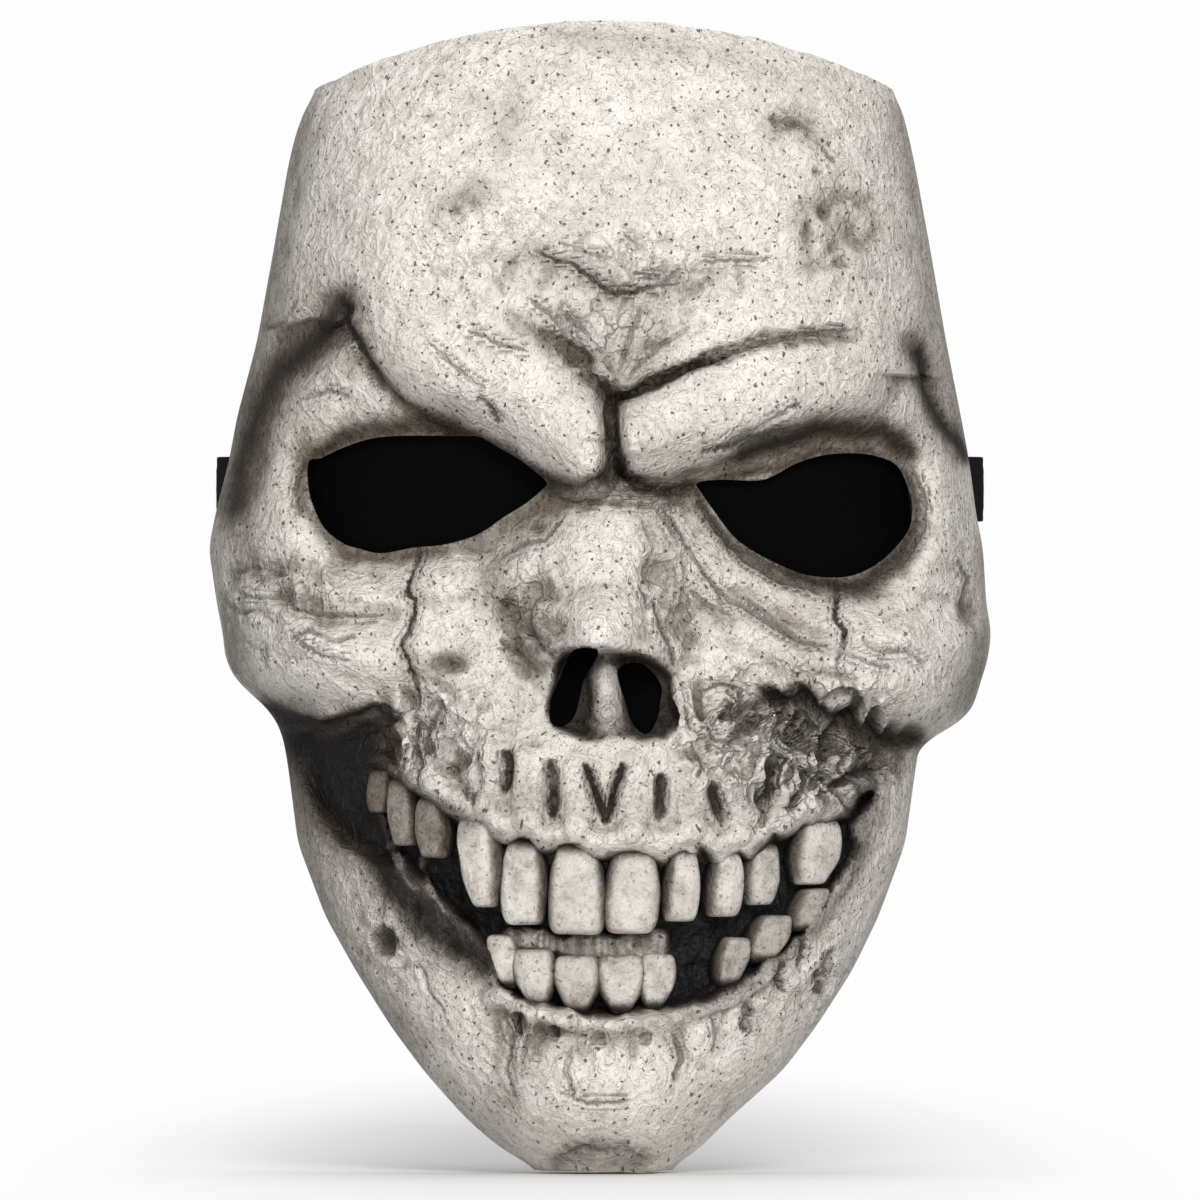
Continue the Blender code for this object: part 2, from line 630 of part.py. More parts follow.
def make_strap_tab(name, side, parts):
    """The plain tab that holds one end of the strap against the wall."""
    cloth = make_material(name + "_cloth", (0.02, 0.02, 0.021), 0.85)
    wall = strap_side(side)
    along = wall[3] - wall[1]
    lean = math.atan2(along[0], along[1])
    inward = np.array([-side * math.cos(lean), side * math.sin(lean)])
    middle = (wall[1] + wall[3]) / 2
    middle = middle + inward * (STRAP_THICKNESS / 2 + CLEARANCE + TAB_THICKNESS / 2)
    bpy.ops.mesh.primitive_cube_add(size=1.0, location=(0.0, 0.0, 0.0))
    tab = bpy.context.object
    tab.name = name
    tab.data.name = name
    size = np.array([TAB_THICKNESS, TAB_LENGTH, STRAP_WIDTH])
    coordinates = np.empty(24)
    tab.data.vertices.foreach_get("co", coordinates)
    tab.data.vertices.foreach_set("co", (coordinates.reshape(-1, 3) * size).ravel())
    tab.rotation_euler = (0.0, 0.0, -lean)
    tab.location = (middle[0], middle[1], (STRAP_UP - SEAT_UP) * MASK_HEIGHT)
    tab.data.materials.append(cloth)
    for group in list(tab.users_collection):
        group.objects.unlink(tab)
    parts.objects.link(tab)
    return tab


def build():
    """Make every piece of the mask."""
    clear_scene()
    parts = make_collection("skull_mask")
    cutters = make_collection("cutters")
    teeth = make_collection("teeth")
    make_shell(parts, cutters, teeth)
    gauze = make_material("black_gauze", (0.01, 0.01, 0.01), 0.9)
    make_gauze("eye_gauze_left", EYES[:1], parts, gauze)
    make_gauze("eye_gauze_right", EYES[1:], parts, gauze)
    make_gauze("nose_gauze", NOSTRILS, parts, gauze)
    make_strap(parts)
    make_strap_tab("strap_tab_left", -1, parts)
    make_strap_tab("strap_tab_right", 1, parts)


build()
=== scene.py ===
"""Skull mask: a painted shell of moulded bone with its teeth, black gauze and an elastic strap.

Metres, +Z up. Places on the face are shares: "across" of half the mask's width from its middle line,
"up" of the mask's height from the chin. Carved depths are shares of RELIEF.
"""
import math
from collections import namedtuple
from itertools import product

import bpy
import numpy as np
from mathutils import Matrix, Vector


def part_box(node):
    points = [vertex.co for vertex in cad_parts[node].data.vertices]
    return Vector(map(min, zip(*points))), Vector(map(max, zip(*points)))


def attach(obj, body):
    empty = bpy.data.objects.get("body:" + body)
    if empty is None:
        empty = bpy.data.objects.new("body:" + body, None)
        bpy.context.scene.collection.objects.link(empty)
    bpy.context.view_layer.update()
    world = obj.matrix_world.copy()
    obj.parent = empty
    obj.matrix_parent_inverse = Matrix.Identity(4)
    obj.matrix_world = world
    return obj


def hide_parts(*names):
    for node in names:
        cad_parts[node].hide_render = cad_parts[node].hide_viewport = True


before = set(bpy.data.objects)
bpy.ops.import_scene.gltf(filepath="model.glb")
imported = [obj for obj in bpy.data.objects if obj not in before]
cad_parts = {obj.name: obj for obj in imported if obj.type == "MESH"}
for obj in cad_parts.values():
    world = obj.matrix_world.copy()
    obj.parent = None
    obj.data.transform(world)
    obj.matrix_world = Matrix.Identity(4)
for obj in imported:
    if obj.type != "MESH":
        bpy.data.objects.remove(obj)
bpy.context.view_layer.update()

# The mask's own sizes
MASK_WIDTH = 0.193
MASK_HEIGHT = 0.281
MASK_DEPTH = 0.072
RELIEF = 0.020
WALL = 0.003
CHIN_FLOOR = 0.004
SEAT_SHIFT = 0.0024
CLEARANCE = 0.0004
SEAT_UP = 0.584
ARCH_RISE = 0.057
ARCH_START = 0.62
ROW_ROUNDING = 0.010
EDGE_FADE = 0.10
FLAT_SHARE = 0.78
HALF_WIDTH = MASK_WIDTH / 2
STRETCH = MASK_HEIGHT / HALF_WIDTH
CUT_REACH = MASK_DEPTH + RELIEF

# The strap
STRAP_UP = 0.594
STRAP_WIDTH = 0.016
STRAP_THICKNESS = 0.0015
STRAP_SPAN = 0.190
STRAP_REACH = 0.180
STRAP_LAP = 0.024
TAB_LENGTH = 0.014
TAB_THICKNESS = 0.0012

FLOOR_LEVEL = -SEAT_UP * MASK_HEIGHT - 0.0006

# Depths, rises and edges of the carving, in shares
MOUTH_DEPTH = 0.48
MOUTH_EDGE = 0.017
CAVITY_DEPTH = 0.15
CAVITY_EDGE = 0.022
HOLLOW_DEPTH = 0.55
HOLLOW_EDGE = 0.040
LEDGE_RISE = 0.26
SOCKET_DEPTH = 0.40
SOCKET_SPREAD = 0.085

# Gauze
GAUZE_GAP = 0.0009
GAUZE_THICKNESS = 0.0004

# Colours
BONE_LIGHT = (0.810, 0.768, 0.712, 1.0)
BONE_MID = (0.690, 0.645, 0.585, 1.0)
BONE_SPECK = (0.420, 0.365, 0.305, 1.0)
# Brown and black of the paint, laid also as painted shade and shadow
WASH_BROWN = (0.098, 0.070, 0.048, 1.0)
PORE_BROWN = (0.045, 0.032, 0.024, 1.0)
SOOT_BLACK = (0.006, 0.0055, 0.005, 1.0)
LINER_GREY = (0.30, 0.285, 0.265, 1.0)
GAUZE_BLACK = (0.0015, 0.0015, 0.0015, 1.0)
GAUZE_THREAD = (0.004, 0.004, 0.004, 1.0)
ELASTIC_BLACK = (0.003, 0.003, 0.003, 1.0)
ELASTIC_THREAD = (0.014, 0.014, 0.014, 1.0)
TAB_BLACK = (0.008, 0.008, 0.009, 1.0)
TAB_THREAD = (0.030, 0.030, 0.031, 1.0)
FLOOR_WHITE = (0.94, 0.94, 0.94, 1.0)

# Paint: how far a crease strays in millimetres, reaches in widths, the painted edge of a hole, brown on teeth
MILLIMETRES = 1000.0
CREASE_WOBBLE = 2.6
STROKE_REACH = 2.6
RIM_REACH = 2.0
HOLE_RIM = 0.002
TOOTH_STAIN = 0.06
BACK_TOOTH_STAIN = 0.50
BACK_TOOTH_ACROSS = -0.35

# Lights in watts and the camera, its lens in millimetres
WORLD_STRENGTH = 0.38
BACKDROP_STRENGTH = 0.985
Lamp = namedtuple("Lamp", "name place aim size power")
LAMPS = (
    Lamp("key", (0.35, -1.95, 0.78), (0.0, 0.0, 0.0), 0.7, 29.0),
    Lamp("fill", (-0.4, -1.9, -0.45), (0.0, 0.0, 0.0), 1.4, 16.0),
    Lamp("top", (0.1, 0.1, 1.6), (0.0, 0.05, 0.0), 1.2, 9.0),
)
CAMERA_DISTANCE = 6.0
CAMERA_LENS = 739.0
CAMERA_ACROSS = 0.0
CAMERA_HEIGHT = -0.0246


def line(*places):
    """Points of a line from thousandths: across, up, across, up and so on."""
    return tuple((across / 1000, up / 1000) for across, up in zip(places[::2], places[1::2]))


def lines(kind, rows):
    """Lines of one kind from rows that hold its three measures and then the points in thousandths."""
    return tuple(kind(*row[:3], line(*row[3:])) for row in rows)


Section = namedtuple("Section", "up left right front rim square")
SECTIONS = (
    Section(0.000, 0.150, 0.170, 0.16, 0.42, 2.0),
    Section(0.015, 0.239, 0.242, 0.04, 0.44, 2.0),
    Section(0.044, 0.339, 0.326, -0.07, 0.46, 2.0),
    Section(0.086, 0.448, 0.464, -0.12, 0.50, 2.1),
    Section(0.125, 0.532, 0.550, -0.12, 0.53, 2.1),
    Section(0.172, 0.619, 0.639, -0.11, 0.57, 2.1),
    Section(0.220, 0.698, 0.708, -0.11, 0.62, 2.1),
    Section(0.284, 0.769, 0.777, -0.11, 0.70, 2.1),
    Section(0.352, 0.795, 0.805, -0.10, 0.78, 2.2),
    Section(0.371, 0.805, 0.815, -0.10, 0.80, 2.2),
    Section(0.382, 0.813, 0.882, -0.09, 0.82, 2.2),
    Section(0.395, 0.833, 0.938, -0.08, 0.84, 2.2),
    Section(0.409, 0.869, 0.958, -0.07, 0.86, 2.2),
    Section(0.422, 0.920, 0.968, -0.06, 0.88, 2.2),
    Section(0.443, 0.955, 0.989, -0.05, 0.91, 2.2),
    Section(0.468, 0.963, 0.999, -0.05, 0.94, 2.2),
    Section(0.493, 0.978, 0.986, -0.04, 0.96, 2.2),
    Section(0.542, 0.999, 0.978, -0.04, 0.98, 2.2),
    Section(0.571, 0.983, 0.961, -0.04, 1.00, 2.2),
    Section(0.618, 0.948, 0.943, -0.07, 1.00, 2.2),
    Section(0.657, 0.927, 0.922, -0.10, 1.00, 2.2),
    Section(0.723, 0.876, 0.884, -0.12, 1.00, 2.3),
    Section(0.804, 0.833, 0.843, -0.09, 0.98, 2.4),
    Section(0.875, 0.797, 0.805, 0.00, 0.95, 2.4),
    Section(0.904, 0.777, 0.787, 0.06, 0.92, 2.4),
    Section(0.929, 0.749, 0.767, 0.14, 0.88, 2.4),
    Section(0.943, 0.721, 0.741, 0.24, 0.84, 2.4),
)

Mound = namedtuple("Mound", "across up wide tall rise")
MOUNDS = (
    Mound(0.005, 0.472, 0.12, 0.040, 0.30),
    Mound(-0.140, 0.453, 0.085, 0.024, 0.35),
    Mound(0.127, 0.446, 0.055, 0.020, 0.25),
    Mound(-0.760, 0.458, 0.38, 0.072, 0.72),
    Mound(0.740, 0.436, 0.36, 0.068, 0.72),
    Mound(0.000, 0.320, 0.52, 0.130, 0.45),
    Mound(0.000, 0.065, 0.30, 0.060, 0.30),
    Mound(-0.410, 0.836, 0.40, 0.100, 0.12),
    Mound(0.430, 0.828, 0.40, 0.100, 0.12),
    Mound(-0.790, 0.566, 0.12, 0.060, 0.20),
    Mound(0.850, 0.575, 0.10, 0.080, 0.20),
    Mound(-0.540, 0.200, 0.055, 0.018, -0.15),
)

# Ridges and grooves along lines; "over" is how far their upper side reaches at each end
Ridge = namedtuple("Ridge", "width start_rise end_rise line over", defaults=(None,))
RIDGES = (
    Ridge(0.210, 0.10, 0.62, line(0, 610, 0, 550, 5, 500, 5, 460)),
    Ridge(0.110, 0.08, 0.26, line(0, 560, 5, 500, 10, 462)),
    Ridge(0.115, 0.52, 0.72, line(-540, 738, -410, 699, -240, 667, -100, 639, -50, 622),
          (0.36, 0.12)),
    Ridge(0.105, 0.68, 0.42, line(110, 636, 230, 642, 420, 668, 640, 690), (0.095, 0.24)),
    Ridge(0.045, -0.45, -0.40, line(22, 676, 30, 645, 41, 611)),
    Ridge(0.034, -0.28, -0.10, line(30, 671, 90, 680, 190, 694, 410, 719, 640, 726)),
    Ridge(0.036, -0.04, -0.22, line(-220, 740, -140, 722, -70, 707, 0, 680)),
    Ridge(0.085, -0.35, -0.25, line(-670, 742, -760, 713, -830, 697, -880, 653, -920, 600)),
    Ridge(0.050, -0.25, -0.25, line(800, 716, 870, 658, 920, 627)),
    Ridge(0.090, -0.15, -0.50, line(370, 412, 520, 403, 640, 382, 800, 360)),
    Ridge(0.036, 0.16, 0.16, line(-270, 152, -180, 139, -100, 133, 0, 130, 100, 132, 170, 136,
         270, 147, 340, 158, 420, 176)),
    Ridge(0.050, 0.14, 0.03, line(-215, 132, -215, 90)),
    Ridge(0.052, 0.14, 0.03, line(-100, 122, -105, 78)),
    Ridge(0.052, 0.14, 0.03, line(25, 118, 25, 75)),
    Ridge(0.052, 0.14, 0.03, line(140, 122, 140, 80)),
    Ridge(0.050, 0.14, 0.03, line(260, 134, 255, 92)),
    Ridge(0.060, 0.10, 0.14, line(-800, 600, -760, 560, -660, 522, -500, 510, -360, 520)),
    Ridge(0.060, 0.10, 0.12, line(860, 590, 840, 540, 760, 505, 600, 488, 420, 508, 280, 540)),
    Ridge(0.060, 0.14, 0.10, line(-800, 470, -660, 455, -520, 440)),
    Ridge(0.070, 0.10, 0.16, line(360, 480, 520, 450, 680, 430, 840, 405)),
    Ridge(0.050, -0.14, -0.10, line(-780, 500, -700, 488, -550, 482)),
    Ridge(0.050, -0.12, -0.10, line(370, 497, 510, 464, 610, 453)),
    Ridge(0.060, -0.22, -0.10, line(-160, 500, -220, 475, -180, 445)),
    Ridge(0.050, -0.18, -0.10, line(150, 520, 190, 480, 230, 450)),
)
SEPTUM = Ridge(0.050, 0.45, 0.45, line(13, 453, 18, 405))
SPINE = Mound(0.018, 0.388, 0.070, 0.026, 0.35)

Tooth = namedtuple("Tooth", "across up wide tall stand neck tip lean stain")
UPPER_TEETH = (
    Tooth(-0.548, 0.331, 0.031, 0.019, -0.22, 0.90, 0.80, 0.00, 0.75),
    Tooth(-0.487, 0.313, 0.038, 0.030, -0.14, 0.85, 0.75, -0.12, 0.45),
    Tooth(-0.411, 0.301, 0.045, 0.028, -0.10, 0.85, 0.75, -0.05, 0.40),
    Tooth(-0.289, 0.271, 0.050, 0.041, 0.05, 1.00, 0.62, -0.10, 0.12),
    Tooth(-0.185, 0.252, 0.055, 0.037, 0.02, 0.82, 0.96, 0.00, 0.12),
    Tooth(-0.056, 0.247, 0.071, 0.040, 0.06, 0.80, 1.00, 0.00, 0.12),
    Tooth(0.079, 0.245, 0.071, 0.037, 0.06, 0.82, 0.96, 0.05, 0.12),
    Tooth(0.199, 0.250, 0.043, 0.032, 0.02, 0.75, 0.95, 0.06, 0.12),
    Tooth(0.306, 0.252, 0.043, 0.030, 0.00, 0.75, 0.92, 0.08, 0.12),
    Tooth(0.394, 0.259, 0.047, 0.027, -0.04, 0.85, 0.72, 0.12, 0.30),
    Tooth(0.535, 0.279, 0.069, 0.030, -0.10, 0.85, 0.70, 0.22, 0.15),
)
LOWER_TEETH = (
    Tooth(-0.232, 0.183, 0.041, 0.024, -0.10, 0.50, 1.00, -0.20, 0.12),
    Tooth(-0.158, 0.168, 0.054, 0.026, -0.02, 0.50, 1.00, -0.10, 0.12),
    Tooth(-0.055, 0.163, 0.060, 0.026, 0.02, 0.50, 1.00, 0.00, 0.12),
    Tooth(0.052, 0.163, 0.060, 0.026, 0.02, 0.50, 1.00, 0.00, 0.12),
    Tooth(0.138, 0.165, 0.046, 0.025, -0.04, 0.55, 1.00, 0.08, 0.12),
    Tooth(0.324, 0.182, 0.041, 0.022, -0.10, 0.70, 0.90, 0.25, 0.35),
    Tooth(0.414, 0.202, 0.055, 0.021, -0.10, 0.70, 0.90, 0.40, 0.30),
    Tooth(0.511, 0.227, 0.045, 0.019, -0.14, 0.70, 0.90, 0.50, 0.40),
)
# Airbrushed strokes of brown wash and black, creases in the bone, and pits
Stroke = namedtuple("Stroke", "width wash soot line")
Crease = namedtuple("Crease", "width depth soot line")
Pit = namedtuple("Pit", "across up wide tall depth soot")
Rim = namedtuple("Rim", "width clean line")


STROKES = lines(Stroke, (
    (0.041, 0.95, 0.78, -652, 753, -675, 735, -734, 718, -803, 700, -851, 674, -887, 639, -912, 605,
     -927, 577),
    (0.102, 0.55, 0.00, -662, 742, -764, 709, -861, 662, -917, 592),
    (0.023, 0.95, 0.95, 805, 713, 820, 686, 866, 658, 912, 636, 935, 623),
    (0.066, 0.45, 0.00, 795, 719, 828, 679, 892, 636),
    (0.023, 0.80, 0.45, -708, 625, -650, 639, -573, 646, -479, 650, -377, 648),
    (0.046, 0.40, 0.00, -718, 629, -637, 645, -510, 655, -382, 653, -255, 631),
    (0.036, 0.55, 0.15, -130, 594, -183, 578, -250, 562, -326, 546),
    (0.023, 0.75, 0.25, -764, 610, -739, 579, -701, 553, -637, 538, -553, 533, -471, 537, -403, 540),
    (0.020, 0.80, 0.40, -744, 617, -657, 632, -517, 642, -344, 643, -211, 623, -130, 599),
    (0.033, 0.95, 0.80, 362, 625, 433, 632, 520, 643, 624, 646, 724, 643, 785, 625),
    (0.056, 0.50, 0.05, 331, 617, 433, 631, 611, 645, 754, 634),
    (0.015, 0.85, 0.50, 245, 595, 306, 604, 443, 609, 548, 625, 683, 627, 777, 603, 803, 571, 764, 538,
     662, 512, 548, 510, 433, 523, 326, 547, 245, 591),
    (0.028, 0.75, 0.45, 484, 516, 586, 507, 683, 512, 764, 530, 810, 559),
    (0.051, 0.35, 0.00, 357, 535, 510, 510, 688, 510, 785, 540),
    (0.020, 0.70, 0.30, -606, 723, -561, 699, -510, 672, -433, 656, -334, 639),
    (0.020, 0.75, 0.45, -334, 636, -211, 618, -140, 601, -69, 595, 0, 602),
    (0.020, 0.80, 0.60, 3, 605, 28, 627, 20, 649),
    (0.015, 0.40, 0.10, -178, 735, -132, 725, -51, 704, 3, 678),
    (0.018, 0.80, 0.50, 31, 672, 31, 649, 38, 627, 56, 606),
    (0.018, 0.70, 0.35, 31, 669, 92, 678, 186, 692, 268, 702),
    (0.015, 0.35, 0.05, 268, 702, 413, 719, 520, 727, 611, 728),
    (0.020, 0.85, 0.55, 56, 606, 102, 598, 171, 591, 239, 598),
    (0.046, 0.55, 0.10, -112, 591, 0, 591, 127, 585, 239, 589),
    (0.076, 0.28, 0.00, -102, 732, 0, 704, 31, 672),
    (0.066, 0.32, 0.00, 153, 723, 76, 700, 36, 674),
    (0.061, 0.60, 0.08, -242, 497, -191, 477, -132, 462),
    (0.041, 0.50, 0.05, -262, 531, -199, 553, -132, 573),
    (0.025, 0.55, 0.15, -204, 453, -153, 437, -112, 441),
    (0.041, 0.35, 0.00, 127, 557, 173, 531, 229, 497, 331, 479),
    (0.023, 0.70, 0.40, -87, 451, -25, 446, 31, 446, 115, 443, 173, 432),
    (0.023, 0.95, 0.90, -861, 404, -805, 394, -713, 389, -642, 394, -576, 402, -510, 399),
    (0.092, 1.00, 1.00, -775, 376, -718, 357, -650, 322),
    (0.066, 0.85, 0.60, -688, 322, -611, 296, -510, 261),
    (0.028, 0.95, 0.85, 418, 416, 520, 411, 594, 398, 665, 385, 736, 376, 800, 374),
    (0.036, 0.25, 0.00, 510, 405, 662, 370, 777, 357),
    (0.066, 0.48, 0.00, -775, 916, -805, 854, -836, 791, -871, 732, -902, 671),
    (0.051, 0.25, 0.00, -989, 544, -978, 505, -948, 453, -892, 409),
    (0.092, 0.52, 0.00, -785, 340, -749, 270, -662, 192, -535, 122),
    (0.056, 0.40, 0.00, -535, 122, -408, 70, -268, 19),
    (0.041, 0.42, 0.00, 769, 923, 820, 828, 871, 732, 917, 653),
    (0.036, 0.40, 0.00, 981, 549, 994, 479, 943, 405),
    (0.061, 0.05, 0.00, 795, 340, 739, 261, 637, 174, 497, 100, 306, 37),
    (0.051, 0.80, 0.45, -596, 331, -550, 279, -433, 235, -285, 187),
    (0.059, 0.90, 0.85, -606, 296, -530, 253, -433, 216, -296, 181),
    (0.015, 0.45, 0.15, -255, 143, -178, 127, -102, 122, 0, 118, 102, 127, 229, 139),
    (0.056, 0.42, 0.00, -242, 131, -211, 96, -242, 61),
    (0.025, 0.60, 0.25, 265, 143, 400, 167, 525, 206, 624, 248, 662, 279),
    (0.117, 0.10, 0.00, 357, 375, 510, 357, 637, 331),
    (0.051, 0.60, 0.20, 662, 357, 683, 314, 637, 279),
    (0.066, 0.30, 0.00, -357, 340, -102, 322, 153, 314, 408, 322),
    (0.023, 0.65, 0.45, -571, 341, -484, 329, -408, 319, -341, 307, -260, 291),
    (0.023, 0.60, 0.35, 408, 280, 504, 294, 637, 308),
    (0.041, 0.60, 0.00, -632, 392, -561, 366, -510, 340),
    (0.051, 0.38, 0.00, -178, 796, -69, 784, 51, 765, 214, 767),
    (0.041, 0.45, 0.00, -392, 838, -346, 845, -306, 848),
    (0.036, 0.30, 0.00, -204, 939, -229, 915, -255, 889),
    (0.036, 0.50, 0.00, 433, 906, 489, 913, 540, 897),
    (0.025, 0.45, 0.00, 510, 845, 510, 819, 525, 787),
    (0.087, 0.26, 0.00, 601, 841, 624, 810, 606, 791),
    (0.046, 0.25, 0.00, -102, 984, 102, 977, 306, 967, 459, 954),
    (0.036, 0.40, 0.00, -428, 434, -382, 443, -341, 449),
    (0.031, 0.32, 0.00, -459, 539, -484, 497, -489, 457, -459, 409, -408, 357),
    (0.031, 0.35, 0.00, -803, 501, -739, 486, -548, 481),
    (0.051, 0.40, 0.00, -927, 566, -887, 531, -790, 512),
    (0.036, 0.28, 0.00, 369, 495, 510, 460, 617, 451),
    (0.031, 0.50, 0.10, -102, 10, -13, 21, 102, 12),
))
